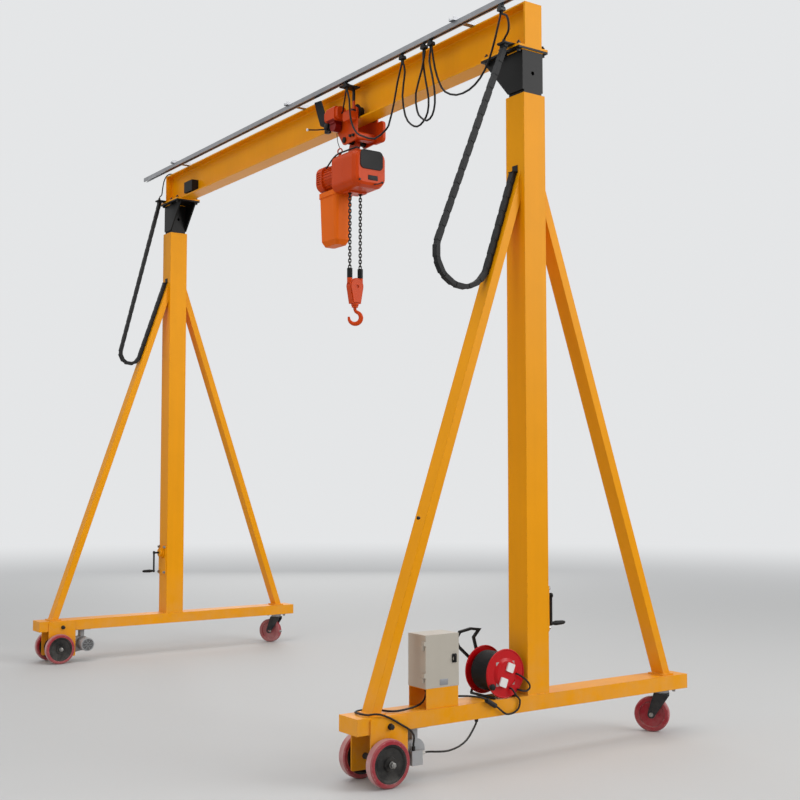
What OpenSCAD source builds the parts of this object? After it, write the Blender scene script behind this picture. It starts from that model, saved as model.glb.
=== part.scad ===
// Travelling gantry crane with a height-adjustable beam, an electric chain hoist on a
// motor trolley, driven wheels at one end of each sill and swivel casters at the other.
// Sizes are in millimetres. X runs along the beam, Y along the sills, Z is up, and the
// floor is at Z = 0. The near end frame is at +X and the far one at -X.

/* [End frames] */
// Distance between the centres of the two columns
column_pitch = 4550; // [3000:10:6000]
// Width of the square column tube
column_w = 150; // [130:1:180]
// Wall of the column tube
column_wall = 6; // [4:0.5:6]
// Height of the column above the sill
column_h = 3210; // [2400:10:4000]
// Length of the sill
sill_l = 2280; // [2240:10:2800]
// Width of the sill tube
sill_w = 160; // [150:1:200]
// Height of the sill tube
sill_h = 80; // [70:1:110]
// Wall of the sill tube
sill_wall = 5; // [3:0.5:8]
// Width of the brace tube, along the beam
brace_w = 90; // [70:1:110]
// Thickness of the brace tube
brace_t = 50; // [40:1:70]
// Wall of the brace tube
brace_wall = 4; // [3:0.5:6]
// Drop from the column's top to the upper corner of the brace
brace_drop = 430; // [350:5:700]
// Distance from the column's centre to the outer corner of the brace foot
brace_reach = 1035; // [900:5:1060]
// Thickness of the plate under the brace foot
foot_plate_t = 8; // [5:1:12]

/* [Drive wheels] */
// Outside diameter of the drive wheel
drive_wheel_d = 230; // [210:1:240]
// Width of the drive wheel
drive_wheel_w = 50; // [40:1:60]
// Diameter of the steel centre of the drive wheel
drive_hub_d = 184; // [160:1:190]
// Distance from the column's centre to the drive axle
drive_axle_y = 990; // [960:5:1000]
// Diameter of the drive axle
drive_axle_d = 30; // [25:1:35]
// Thickness of the drive bracket's plates
bracket_t = 8; // [6:1:12]
// Length of the drive bracket's plates along the sill
bracket_l = 215; // [180:1:230]
// Distance from the drive axle to the middle of the bracket's plates
bracket_shift = 30; // [20:1:36]
// Height of the bracket's lower edge above the floor
bracket_low = 48; // [30:1:70]
// Teeth of the chain wheel on the drive axle
axle_teeth = 24; // [18:1:25]
// Teeth of the chain wheel on the gearmotor
motor_teeth = 13; // [11:1:15]
// Pitch of the drive chain
drive_pitch = 15.9; // [12.7:0.1:16.5]
// Diameter of the travel motor
travel_motor_d = 104; // [95:1:112]

/* [Casters] */
// Height of the caster from floor to sill
caster_h = 250; // [240:1:270]
// Outside diameter of the caster wheel
caster_wheel_d = 200; // [180:1:205]
// Width of the caster wheel
caster_wheel_w = 50; // [40:1:60]
// Distance from the column's centre to the caster's swivel axis
caster_y = 1010; // [950:5:1040]
// Offset of the caster wheel from its swivel axis
caster_trail = 55; // [40:1:60]
// Turn of the casters at rest, from the beam's direction
caster_turn = 215; // [0:1:359]

/* [Beam] */
// Height of the beam
beam_h = 240; // [200:1:300]
// Width of the beam's flanges
beam_w = 120; // [100:1:140]
// Radius of the fillets between web and flanges
web_fillet = 12; // [4:1:16]
// Thickness of the beam's web
web_t = 7; // [5:0.5:12]
// Thickness of the beam's flanges
flange_t = 10; // [8:0.5:14]
// Thickness of the plates at the beam's ends and under it
plate_t = 12; // [8:1:16]
// Width of the head plate across the beam
head_plate_w = 208; // [180:1:240]
// Reach of the head plate beyond the column's centre, outwards
head_plate_out = 70; // [70:1:90]
// Reach of the head plate towards the middle of the beam
head_plate_in = 256; // [200:1:320]

/* [Heads] */
// Width of the telescopic head tube
head_tube_w = 125; // [110:1:126]
// Wall of the head tube
head_tube_wall = 6; // [4:0.5:8]
// Length of the head tube that shows at the lowest setting
head_show = 242; // [200:1:400]
// Length of the head tube inside the column
head_inside = 1400; // [1200:10:1800]
// Thickness of the head's gussets
gusset_t = 10; // [6:1:14]
// Drop of the head's gussets below the head flange
gusset_drop = 222; // [120:1:230]

/* [Cable rail] */
// Half the length of the cable rail
rail_half = 2505; // [2450:5:3200]
// Distance from the beam's centre to the cable rail
rail_y = 180; // [160:1:240]
// Width of the cable rail
rail_w = 34; // [30:1:40]
// Height of the cable rail
rail_h = 30; // [28:1:40]
// Sheet thickness of the cable rail
rail_t = 2; // [1.5:0.5:3]
// Width of the rail's slot
rail_slot = 14; // [12:1:16]
// Distance from the middle to the outer support arms
arm_x = 1890; // [1400:10:1950]
// Width of a support arm
arm_w = 41; // [35:1:50]
// Height of a support arm
arm_h = 21; // [18:1:41]

/* [Hoist] */
// Distance from the middle of the beam to the load line
load_x = 565; // [0:5:700]
// Length of the hoist body
hoist_l = 550; // [530:5:600]
// Width of the hoist body
hoist_w = 250; // [220:1:300]
// Height of the hoist body
hoist_h = 250; // [220:1:280]
// Drop from the beam to the hoist's suspension pin
pin_drop = 118; // [100:1:140]
// Diameter of the hoist's suspension pin
pin_d = 28; // [20:1:34]
// Drop from the suspension pin to the top of the hoist body
hoist_drop = 88; // [80:1:120]
// Diameter of the hoist's motor case
hoist_motor_d = 184; // [160:1:190]
// Distance of the chain falls from each other
fall_pitch = 82; // [70:1:100]
// Diameter of the load chain's wire
chain_d = 7; // [6:0.5:8]
// Inside length of a load chain link
chain_pitch = 21; // [20:0.5:26]
// Height of the chain bucket
bucket_h = 365; // [300:5:400]
// Height of the hook block's centre above the floor
hook_z = 2690; // [2500:5:2900]
// Diameter of the trolley wheels' tread
trolley_wheel_d = 70; // [60:1:80]

/* [Control box] */
// Width of the control box, along the sill
box_w = 206; // [180:1:250]
// Height of the control box
box_h = 260; // [220:1:300]
// Depth of the control box, along the beam
box_depth = 147; // [120:1:155]
// Sheet thickness of the control box
box_t = 2; // [1.5:0.5:3]
// Distance from the column's centre to the control box's centre
box_y = 632; // [600:1:680]
// Height of the control box's stand
box_stand_h = 100; // [80:1:120]

/* [Cable reel] */
// Diameter of the reel's flanges
reel_d = 252; // [220:1:270]
// Width of the reel between its flanges
reel_w = 195; // [150:1:210]
// Distance from the column's centre to the reel's centre
reel_y = 219; // [215:1:250]

/* [Lifting gear] */
// Height of the crank shaft above the sill
crank_h = 500; // [420:5:800]
// Length of the crank's arm
crank_l = 150; // [120:1:220]
// Width of the drag chain
drag_w = 36; // [30:1:45]
// Height of the drag chain's links
drag_h = 25; // [20:1:30]
// Pitch of the drag chain's links
drag_pitch = 42; // [34:1:60]
// Radius of the near drag chain's loop
near_loop_r = 172; // [80:1:180]
// Height of the middle of the near drag chain's loop
near_loop_z = 2630; // [2300:10:2700]
// Radius of the far drag chain's loop
far_loop_r = 84; // [80:1:180]
// Height of the middle of the far drag chain's loop
far_loop_z = 2490; // [2300:10:2700]

/* [Hidden] */

$fn = 32;
fine_fn = 48;
running_gap = 6;
seat_gap = 0.3;
bore_gap = 0.05;

near_x = column_pitch / 2;
sill_z = caster_h;
sill_top = sill_z + sill_h;
column_top = sill_top + column_h;
head_flange_z = column_top + head_show;
head_plate_z = head_flange_z + plate_t;
beam_z = head_plate_z + plate_t;
beam_top = beam_z + beam_h;
beam_half = near_x + head_plate_out;
rail_z = beam_top - rail_h;

yellow = [0.85, 0.56, 0.02];
black = [0.10, 0.10, 0.10];
orange = [0.80, 0.28, 0.10];
zinc = [0.62, 0.62, 0.60];
red = [0.70, 0.08, 0.10];
silver = [0.70, 0.71, 0.72];

// Places the same piece on the near frame and, mirrored, on the far frame
module both_frames() {
    translate([near_x, 0, 0]) children();
    mirror([1, 0, 0]) translate([near_x, 0, 0]) children();
}

// Shapes of plates and tubes

// Rectangular tube along Z, open at both ends
module tube(w, d, wall, length) {
    linear_extrude(length) difference() {
        square([w, d], center = true);
        square([w - 2 * wall, d - 2 * wall], center = true);
    }
}

// Plate outline drawn in Y and Z, extruded along X about the middle
module across(width) {
    rotate([90, 0, 90]) linear_extrude(width, center = true) children();
}

// Outline drawn in X and Z, extruded along Y about the middle
module along_y(width) {
    rotate([90, 0, 0]) linear_extrude(width, center = true) children();
}

// Rectangle with round corners
module rounded(w, h, r) {
    square([w, h - 2 * r], center = true);
    square([w - 2 * r, h], center = true);
    for (x = [-1, 1], y = [-1, 1])
        translate([x * (w / 2 - r), y * (h / 2 - r)]) circle(r);
}

// Two circles and the tangents that join them, which cut the circles by a hair
module belt(a, ra, b, rb) {
    pa = ra - 0.02;
    pb = rb - 0.02;
    d = norm(b - a);
    u = (b - a) / d;
    v = [-u[1], u[0]];
    c = (ra - rb) / d;
    k = sqrt(1 - c * c);
    translate(a) circle(ra);
    translate(b) circle(rb);
    polygon([a + pa * (c * u + k * v), b + pb * (c * u + k * v),
        b + pb * (c * u - k * v), a + pa * (c * u - k * v)]);
}

// End frames

module sill() {
    translate([0, -sill_l / 2, sill_z + sill_h / 2]) rotate([-90, 0, 0])
        tube(sill_w, sill_h, sill_wall, sill_l);
    for (side = [-1, 1])
        translate([0, side * (sill_l - sill_wall) / 2, sill_z + sill_h / 2])
            cube([sill_w - sill_wall, sill_wall, sill_h - sill_wall], center = true);
}

module sills() {
    color(yellow) both_frames() sill();
}

module columns() {
    color(yellow) both_frames()
        translate([0, 0, sill_top]) tube(column_w, column_w, column_wall, column_h);
}

brace_top = column_top - brace_drop;
brace_foot = sill_top + foot_plate_t;
brace_slope = (brace_reach - column_w / 2) / (brace_top - sill_top);
brace_lean = atan(brace_slope);

// Y of the brace's side at a height, moved in by a depth square to the side
function brace_y(z, depth) =
    column_w / 2 + (brace_top - z) * brace_slope - depth / cos(brace_lean);

// Outline of the brace in Y and Z between two depths
module brace_outline(outer, inner) {
    polygon([
        [brace_y(brace_foot, outer), brace_foot],
        [column_w / 2, brace_top - outer / sin(brace_lean)],
        [column_w / 2, brace_top - inner / sin(brace_lean)],
        [brace_y(brace_foot, inner), brace_foot]]);
}

module brace() {
    difference() {
        across(brace_w) brace_outline(0, brace_t);
        across(brace_w - 2 * brace_wall) brace_outline(brace_wall, brace_t - brace_wall);
    }
    translate([0, brace_y(brace_foot, brace_t / 2), sill_top + foot_plate_t / 2])
        cube([brace_w + 20, brace_t / cos(brace_lean) + 40, foot_plate_t], center = true);
}

module braces() {
    color(yellow) both_frames() {
        brace();
        mirror([0, 1, 0]) brace();
    }
}

// Driven end

axle_z = drive_wheel_d / 2;
wheel_in = sill_w / 2 + bracket_t + running_gap;

bracket_tie = 8;
bracket_rest = 7;
bracket_r = 12;
tie_h = 60;

// Two plates welded to the sill's sides and a tie between them
module drive_bracket() {
    middle = bracket_shift - drive_axle_y;
    plate_h = sill_top - bracket_rest - bracket_low;
    for (side = [-1, 1]) translate([side * (sill_w + bracket_t) / 2, 0, 0])
        across(bracket_t) difference() {
            translate([middle, bracket_low + plate_h / 2]) rounded(bracket_l, plate_h, bracket_r);
            translate([-drive_axle_y, axle_z]) circle(d = drive_axle_d + 2 * bore_gap);
        }
    translate([0, middle + bracket_l / 2 - bracket_tie, sill_z - tie_h / 2])
        cube([sill_w, bracket_tie, tie_h], center = true);
}

module drive_brackets() {
    color(yellow) both_frames() drive_bracket();
}

// Chain drive from the gearmotor to the axle

roller_d = 10;
plate_half = 5;
sprocket_w = 8;
chain_x = 52;

// Radius of the chain's middle line on a chain wheel
function pitch_r(teeth) = drive_pitch / 2 / sin(180 / teeth);

// Chain wheel in the Y, Z plane with a round gap for each roller
module sprocket(teeth) {
    across(sprocket_w) difference() {
        circle(pitch_r(teeth) + roller_d * 0.3, $fn = fine_fn);
        for (i = [0:teeth - 1]) rotate((i + 0.5) * 360 / teeth)
            translate([pitch_r(teeth), 0]) circle(d = roller_d, $fn = 16);
    }
}

// Two steel wheel centres, the axle and its chain wheel, in one turning piece
module drive_wheels(x) {
    outer = x > 0 ? chain_x : -chain_x;
    boss_r = 30;
    color(black) translate([x, -drive_axle_y, axle_z]) {
        rotate([0, 90, 0])
            cylinder(d = drive_axle_d, h = 2 * (wheel_in + drive_wheel_w) + 16, center = true);
        translate([outer, 0, 0]) {
            sprocket(axle_teeth);
            rotate([0, 90, 0]) cylinder(r = boss_r, h = 3 * sprocket_w, center = true);
        }
        for (side = [-1, 1]) mirror([side < 0 ? 1 : 0, 0, 0]) translate([wheel_in, 0, 0])
            rotate([0, 90, 0]) wheel_centre(drive_hub_d / 2, drive_wheel_w, drive_axle_d / 2 - 1);
    }
}

// Steel wheel centre about Z: a boss, a dished web and a rim
module wheel_centre(rim_r, width, bore_r) {
    boss_r = 30;
    rim = 12;
    dish = 14;
    rotate_extrude($fn = fine_fn) polygon([
        [bore_r, 0], [boss_r, 0], [boss_r, dish], [rim_r - rim, dish], [rim_r - rim + 2, 2],
        [rim_r, 2], [rim_r, width - 2], [rim_r - rim + 4, width - 2], [rim_r - rim - 4, width - 10],
        [boss_r + 6, width - 10], [boss_r + 2, width], [bore_r, width]]);
}

module drive_tyres(x) {
    crown = 7;
    color(red) translate([x, -drive_axle_y, axle_z])
        for (side = [-1, 1]) mirror([side < 0 ? 1 : 0, 0, 0]) translate([wheel_in, 0, 0])
            rotate([0, 90, 0]) rotate_extrude($fn = fine_fn) polygon([
                [drive_hub_d / 2, 0], [drive_wheel_d / 2 - crown, 0], [drive_wheel_d / 2 - 1, crown],
                [drive_wheel_d / 2, 2 * crown], [drive_wheel_d / 2, drive_wheel_w - 2 * crown],
                [drive_wheel_d / 2 - 1, drive_wheel_w - crown],
                [drive_wheel_d / 2 - crown, drive_wheel_w], [drive_hub_d / 2, drive_wheel_w]]);
}

module near_drive_wheels() { drive_wheels(near_x); }
module near_drive_tyres() { drive_tyres(near_x); }
module far_drive_wheels() { drive_wheels(-near_x); }
module far_drive_tyres() { drive_tyres(-near_x); }

motor_y = 773;
gear_y = 856;
motor_z = 137;
gear_x = -25;
gear_w = 65;
gear_r = 50;
motor_l = 105;
foot_l = 126;
foot_t = 8;
hanger_t = 32;
fin_h = 5;
fin_w = 3;
fins = 24;
terminal = [30, 64, 70];
terminal_y = 781;
terminal_z = 103;
gland_d = 18;
gland_l = 20;
strand_rest = 30;

// Band of the chain's loop: both circles grown by a margin and joined by tangents
module chain_loop(margin) {
    belt([-drive_axle_y, axle_z], pitch_r(axle_teeth) + margin,
        [-gear_y, axle_z], pitch_r(motor_teeth) + margin, $fn = fine_fn);
}

// On the straight strands the rollers show, and on the wheels the teeth fill that space
module drive_chain() {
    span = drive_axle_y - gear_y;
    tilt = asin((pitch_r(axle_teeth) - pitch_r(motor_teeth)) / span);
    strand = span * cos(tilt);
    link_t = 2;
    plate_x = sprocket_w / 2 + 1 + link_t / 2;
    translate([chain_x, 0, 0]) {
        for (side = [-1, 1]) translate([side * plate_x, 0, 0]) across(link_t) difference() {
            chain_loop(plate_half);
            chain_loop(-plate_half);
        }
        for (side = [-1, 1], i = [1:floor((strand - strand_rest) / drive_pitch)])
            translate([0, -gear_y, axle_z]) rotate([-side * tilt, 0, 0])
                translate([0, -i * drive_pitch, side * pitch_r(motor_teeth)])
                    rotate([0, 90, 0]) cylinder(d = roller_d - 4, h = 2 * plate_x, center = true, $fn = 16);
    }
}

// Parallel-shaft gearbox under the sill, its motor towards the middle of the crane
module travel_gearmotor() {
    translate([gear_x + gear_w / 2, 0, 0]) across(gear_w)
        belt([-gear_y, axle_z], gear_r, [-motor_y, motor_z], travel_motor_d / 2 + 4);
    translate([gear_x + gear_w / 2, -motor_y, (sill_z + motor_z) / 2])
        cube([gear_w - 10, hanger_t, sill_z - motor_z], center = true);
    translate([gear_x + gear_w / 2, -motor_y, sill_z - foot_t / 2])
        cube([gear_w + 30, foot_l, foot_t], center = true);
    translate([gear_x + 1, -motor_y, motor_z]) rotate([0, -90, 0]) {
        linear_extrude(motor_l) union() {
            circle(d = travel_motor_d - 2 * fin_h, $fn = fine_fn);
            for (i = [0:fins - 1]) rotate(i * 360 / fins) translate([0, -fin_w / 2])
                square([travel_motor_d / 2 - 1, fin_w]);
        }
        translate([0, 0, motor_l - 30]) cylinder(d = travel_motor_d, h = 50, $fn = fine_fn);
    }
    translate([gear_x + gear_w - 1, -gear_y, axle_z]) rotate([0, 90, 0])
        cylinder(d = 25, h = chain_x - gear_x - gear_w + sprocket_w);
    translate([chain_x, -gear_y, axle_z]) sprocket(motor_teeth);
    translate([gear_x + gear_w + terminal[0] / 2 - 1, -terminal_y, terminal_z]) {
        cube(terminal, center = true);
        translate([0, -14, terminal[2] / 2 - 1]) cylinder(d = gland_d, h = gland_l + 1);
        translate([0, terminal[1] / 2 - 1, 19]) rotate([-90, 0, 0]) cylinder(d = gland_d, h = gland_l + 1);
    }
}

module travel_gearmotors() {
    color(silver) both_frames() {
        travel_gearmotor();
        drive_chain();
    }
}

// Caster end

caster_plate_l = 135;
caster_plate_w = 110;
caster_plate_t = 6;
caster_head_h = 18;
caster_axle_d = 12;
fork_top = sill_z - caster_plate_t - caster_head_h;

module caster_plates() {
    color(zinc) both_frames() translate([0, caster_y, 0]) {
        translate([0, 0, sill_z - caster_plate_t / 2])
            cube([caster_plate_w, caster_plate_l, caster_plate_t], center = true);
        translate([0, 0, fork_top + seat_gap]) cylinder(d = 84, h = caster_head_h, $fn = fine_fn);
    }
}

module at_caster(x) {
    translate([x, caster_y, 0]) rotate(caster_turn) children();
}

module caster_fork(x) {
    color(black) at_caster(x) {
        translate([0, 0, fork_top - 8]) cylinder(d = 90, h = 8, $fn = fine_fn);
        for (side = [-1, 1]) translate([0, side * (caster_wheel_w / 2 + 6 + 3), 0])
            along_y(6) difference() {
                union() {
                    polygon([[-40, fork_top - 2], [-40, fork_top - 24], [caster_trail - 20, caster_wheel_d / 2 - 8],
                        [caster_trail + 21, caster_wheel_d / 2 + 8], [40, fork_top - 2]]);
                    translate([caster_trail, caster_wheel_d / 2]) circle(22);
                }
                translate([caster_trail, caster_wheel_d / 2]) circle(d = caster_axle_d + 2 * bore_gap);
            }
        translate([0, 0, fork_top - 11]) cube([60, caster_wheel_w + 24, 6], center = true);
    }
}

module caster_wheel(x) {
    tread = 6;
    web_r = 72;
    boss_r = 22;
    half = caster_wheel_w / 2;
    color(red) at_caster(x) translate([caster_trail, 0, caster_wheel_d / 2]) rotate([90, 0, 0]) {
        rotate_extrude($fn = fine_fn) polygon([
            [tread, -half], [boss_r, -half], [boss_r + 2, -half + 11], [web_r - 2, -half + 11],
            [web_r + 2, -half + 2], [caster_wheel_d / 2 - tread, -half + 2],
            [caster_wheel_d / 2, -half + 10], [caster_wheel_d / 2, half - 10],
            [caster_wheel_d / 2 - tread, half - 2], [web_r + 2, half - 2],
            [web_r - 2, half - 11], [boss_r + 2, half - 11], [boss_r, half], [tread, half]]);
        cylinder(d = caster_axle_d, h = caster_wheel_w + 30, center = true);
    }
}

module near_caster_fork() { caster_fork(near_x); }
module near_caster_wheel() { caster_wheel(near_x); }
module far_caster_fork() { caster_fork(-near_x); }
module far_caster_wheel() { caster_wheel(-near_x); }

// Lifting gear: the near crank is on the column's +Y face, the far one on its -Y face

crank_z = sill_top + crank_h;
crank_shaft_d = 16;
crank_out = 74;
crank_hub_d = 28;
crank_t = 10;
grip_d = 26;
grip_l = 95;
gear_plate_w = 140;
gear_plate_h = 240;
gear_plate_t = 10;
gear_case_d = 70;
gear_case_l = 30;
shaft_seat = 4;

// Plate on the column with the bevel gear's case, bored for the crank shaft
module lift_gearbox() {
    translate([0, column_w / 2 + gear_plate_t / 2, crank_z - gear_plate_h / 4])
        cube([gear_plate_w, gear_plate_t, gear_plate_h], center = true);
    translate([0, column_w / 2 + gear_plate_t - 1, crank_z]) rotate([-90, 0, 0]) difference() {
        union() {
            cylinder(d = gear_case_d, h = gear_case_l, $fn = fine_fn);
            cylinder(d = gear_case_d + 24, h = gear_case_l / 2, $fn = fine_fn);
        }
        translate([0, 0, shaft_seat + 1]) cylinder(d = crank_shaft_d + 2 * bore_gap, h = gear_case_l);
    }
}

module lift_gearboxes() {
    color(yellow) {
        translate([near_x, 0, 0]) lift_gearbox();
        translate([-near_x, 0, 0]) mirror([0, 1, 0]) lift_gearbox();
    }
}

module crank() {
    translate([0, column_w / 2 + gear_plate_t + shaft_seat + seat_gap, crank_z]) rotate([-90, 0, 0]) {
        cylinder(d = crank_shaft_d, h = crank_out);
        translate([0, 0, crank_out - crank_t]) linear_extrude(crank_t) {
            circle(d = crank_hub_d);
            translate([0, crank_l]) circle(d = crank_hub_d - 4);
            translate([-crank_hub_d / 4, 0]) square([crank_hub_d / 2, crank_l]);
        }
        translate([0, crank_l, crank_out - 1]) rotate_extrude() polygon([
            [0, 0], [5, 0], [5, 6], [grip_d / 2 - 4, 8], [grip_d / 2, grip_l / 3],
            [grip_d / 2 - 2, grip_l - 12], [grip_d / 2 - 6, grip_l], [0, grip_l]]);
    }
}

module near_crank() { color(black) translate([near_x, 0, 0]) crank(); }
module far_crank() { color(black) translate([-near_x, 0, 0]) mirror([0, 1, 0]) crank(); }

// Drag chains

drag_gap = drag_h / 2 + 3;
drag_clip_t = 4;
drag_top = [-150, beam_z - drag_h / 2 - drag_clip_t - seat_gap];
drag_end = brace_top - drag_h / 2;

// Y and Z of the brace's outer face, on the -Y side, moved out by a gap
function brace_side(z, gap) = [-brace_y(z, 0) - gap / cos(brace_lean), z];

// Middle line of a drag chain: down the brace, round the loop and straight up to the head
function drag_route(loop_r, loop_z) = let (
        middle = brace_side(loop_z, drag_gap + loop_r),
        up = drag_top - middle,
        last = atan2(up[1], up[0]) + acos(loop_r / norm(up)) - 360,
        steps = 16,
        turn = (last + brace_lean) / steps)
    concat(
        [brace_side(drag_end, drag_gap)],
        [for (i = [0:steps]) let (a = -brace_lean + i * turn) middle + loop_r * [cos(a), sin(a)]],
        [drag_top]);

// Length of a route, and the point at a distance along it
function run_length(route, i = 0) =
    i >= len(route) - 1 ? 0 : norm(route[i + 1] - route[i]) + run_length(route, i + 1);
function run_point(route, s, i = 0) = let (step = norm(route[i + 1] - route[i]))
    s <= step || i >= len(route) - 2
        ? route[i] + (route[i + 1] - route[i]) * s / step
        : run_point(route, s - step, i + 1);

// Outline of one link between two pivots, with cut corners
function link_outline(a, b, r) = let (u = (b - a) / norm(b - a), v = [-u[1], u[0]], c = r * 0.72)
    [a - u * r + v * c, a - u * c + v * r, b + u * c + v * r, b + u * r + v * c,
     b + u * r - v * c, b + u * c - v * r, a - u * c - v * r, a - u * r - v * c];

// Wide and narrow links take turns, with a bracket at each end
module drag_chain(loop_r, loop_z) {
    route = drag_route(loop_r, loop_z);
    links = floor(run_length(route) / drag_pitch);
    pitch = run_length(route) / links;
    for (parity = [0, 1]) across(drag_w - 5 * parity)
        for (i = [parity:2:links - 1])
            polygon(link_outline(run_point(route, i * pitch), run_point(route, (i + 1) * pitch),
                drag_h / 2 - 0.8 * parity));
    translate([0, drag_top[0], beam_z - seat_gap - drag_clip_t / 2])
        cube([drag_w + 14, 50, drag_clip_t], center = true);
    translate([0, drag_top[0], beam_z - seat_gap - drag_clip_t - drag_h / 4])
        cube([drag_w + 6, drag_h, drag_h / 2], center = true);
    foot = brace_side(drag_end, 0);
    translate([0, -column_w / 2 - seat_gap - drag_clip_t / 2, brace_top + 20])
        cube([drag_w + 6, drag_clip_t, 40], center = true);
    translate([0, (foot[0] - drag_gap - drag_h / 2 - column_w / 2) / 2, brace_top + drag_clip_t / 2])
        cube([drag_w + 6, -foot[0] + drag_gap + drag_h / 2 - column_w / 2, drag_clip_t], center = true);
}

module drag_chains() {
    color(black) {
        translate([near_x, 0, 0]) drag_chain(near_loop_r, near_loop_z);
        translate([-near_x, 0, 0]) drag_chain(far_loop_r, far_loop_z);
    }
}

// Control box

box_z = sill_top + box_stand_h;
door_d = 15;
box_front = box_depth / 2 - door_d;
stand_t = 4;
knuckle_d = 10;
hinge_pin_d = 6;
knuckle_l = 22;
hinge_y = -box_w / 2 - knuckle_d / 2 - 1;
lock_d = 20;

// Folded stand, open at both ends, on the sill
module control_box_stand() {
    color(yellow) translate([near_x, -box_y, sill_top]) along_y(box_w - 2 * stand_t) difference() {
        translate([-box_depth / 2, 0]) square([box_depth, box_stand_h]);
        translate([-box_depth / 2 + stand_t, -1])
            square([box_depth - 2 * stand_t, box_stand_h - stand_t + 1]);
    }
}

// Heights of the two hinges on the box's side
function hinge_heights() = [box_h * 0.2, box_h * 0.8];

module control_box() {
    color([0.70, 0.68, 0.63]) translate([near_x, -box_y, box_z]) {
        difference() {
            translate([-box_depth / 2, -box_w / 2, 0]) cube([box_depth - door_d - seat_gap, box_w, box_h]);
            translate([-box_depth / 2 + box_t, -box_w / 2 + box_t, box_t])
                cube([box_depth, box_w - 2 * box_t, box_h - 2 * box_t]);
        }
        for (z = hinge_heights()) {
            translate([box_front, hinge_y, z - knuckle_l]) {
                cylinder(d = knuckle_d, h = knuckle_l);
                translate([-24, -knuckle_d / 4, 0]) cube([24, -hinge_y - box_w / 2 + 3, knuckle_l]);
            }
            translate([box_front, hinge_y, z - 1]) cylinder(d = hinge_pin_d, h = knuckle_l - 2);
        }
    }
}

// Door with folded edges, hung on the two pins
module control_box_door() {
    color([0.70, 0.68, 0.63]) translate([near_x, -box_y, box_z]) {
        difference() {
            translate([box_front, -box_w / 2, 0]) cube([door_d, box_w, box_h]);
            translate([box_front - 1, -box_w / 2 + box_t, box_t])
                cube([door_d + 1 - box_t, box_w - 2 * box_t, box_h - 2 * box_t]);
        }
        for (z = hinge_heights()) translate([box_front, hinge_y, z + seat_gap]) difference() {
            union() {
                cylinder(d = knuckle_d, h = knuckle_l);
                translate([0, -knuckle_d / 4, 0]) cube([door_d, -hinge_y - box_w / 2 + 3, knuckle_l]);
            }
            translate([0, 0, -1]) cylinder(d = hinge_pin_d + 2 * bore_gap, h = knuckle_l + 2);
        }
        translate([box_front + door_d, box_w / 2 - 30, box_h * 0.52]) rotate([0, 90, 0])
            cylinder(d = lock_d, h = 5);
    }
}

// Cable reel

reel_z = sill_top + reel_d / 2 + 1;
reel_x = near_x - 22;
reel_rod_d = 14;
reel_hub_d = 110;
reel_rim = 9;
reel_sheet = 2.5;
reel_cable_d = 10;
reel_coil_d = 205;
socket_w = 46;

module at_reel() {
    translate([reel_x, -reel_y, reel_z]) children();
}

// Rod between two points of the stand
module rod(a, b, d) {
    along = b - a;
    translate(a) rotate([0, acos(along[2] / norm(along)), atan2(along[1], along[0])])
        cylinder(d = d, h = norm(along), $fn = 12);
}

// Corners of an outline moved outwards by a distance
function outset(p, d) = let (n = len(p)) [for (i = [0:n - 1])
    let (
        u = (p[i] - p[(i + n - 1) % n]) / norm(p[i] - p[(i + n - 1) % n]),
        v = (p[(i + 1) % n] - p[i]) / norm(p[(i + 1) % n] - p[i]))
    p[i] + d * [u[1] + v[1], -u[0] - v[0]] / (1 + u * v)];

// Two bent tubes carry the drum at its hub, with a looped handle over the back flange
module reel_stand() {
    back = -reel_w / 2 - reel_rod_d;
    low = sill_top - reel_z + reel_rod_d / 2;
    half = 68;
    rim = reel_d / 2;
    grip = [[-4, 0], [-50, rim + 42], [-14, rim + 80], [-70, rim + 88], [-142, rim + 76], [-169, rim + 38],
        [-150, rim]];
    color(black) at_reel() {
        for (side = [-1, 1]) {
            rod([back, side * half, low], [back + reel_w, side * half, low], reel_rod_d);
            rod([back, side * half, low], [back, side * 20, 0], reel_rod_d);
        }
        translate([back, 0, 0]) across(reel_rod_d - 2) difference() {
            polygon(outset(grip, reel_rod_d / 2));
            polygon(outset(grip, -reel_rod_d / 2));
        }
        rotate([0, 90, 0]) translate([0, 0, back - reel_rod_d / 2])
            cylinder(d = 52, h = reel_rod_d + 0.9 * reel_rod_d / 2);
    }
}

// Profile of a flange about the drum's axis: a dished disc with a rolled rim
module reel_flange() {
    dish = 10;
    rotate_extrude($fn = fine_fn) {
        polygon([[0, 0], [reel_hub_d / 2 + 8, 0], [reel_hub_d / 2 + 24, dish],
            [reel_d / 2 - reel_rim / 2, dish], [reel_d / 2 - reel_rim / 2, dish + reel_sheet],
            [reel_hub_d / 2 + 22, dish + reel_sheet], [reel_hub_d / 2 + 6, reel_sheet], [0, reel_sheet]]);
        translate([reel_d / 2 - reel_rim / 2, dish + reel_sheet / 2]) circle(d = reel_rim, $fn = 20);
    }
}

// Back flange, slotted hub, and the front flange with two socket covers
module reel_drum() {
    color(red) at_reel() {
        rotate([0, 90, 0]) {
            translate([0, 0, -reel_w / 2]) reel_flange();
            translate([0, 0, reel_w / 2]) mirror([0, 0, 1]) reel_flange();
            translate([0, 0, -reel_w / 2 + 1]) difference() {
                cylinder(d = reel_hub_d, h = reel_w - 2, $fn = fine_fn);
                for (a = [0:30:330]) rotate(a) translate([reel_hub_d / 2, 0, reel_w - 30])
                    cube([8, 12, 26], center = true);
            }
        }
        for (p = [[24, 29], [-24, -42]]) translate([reel_w / 2 - 1, p[0], p[1]])
            across(18) rotate(-22) rounded(socket_w, socket_w, 5);
    }
}

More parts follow.
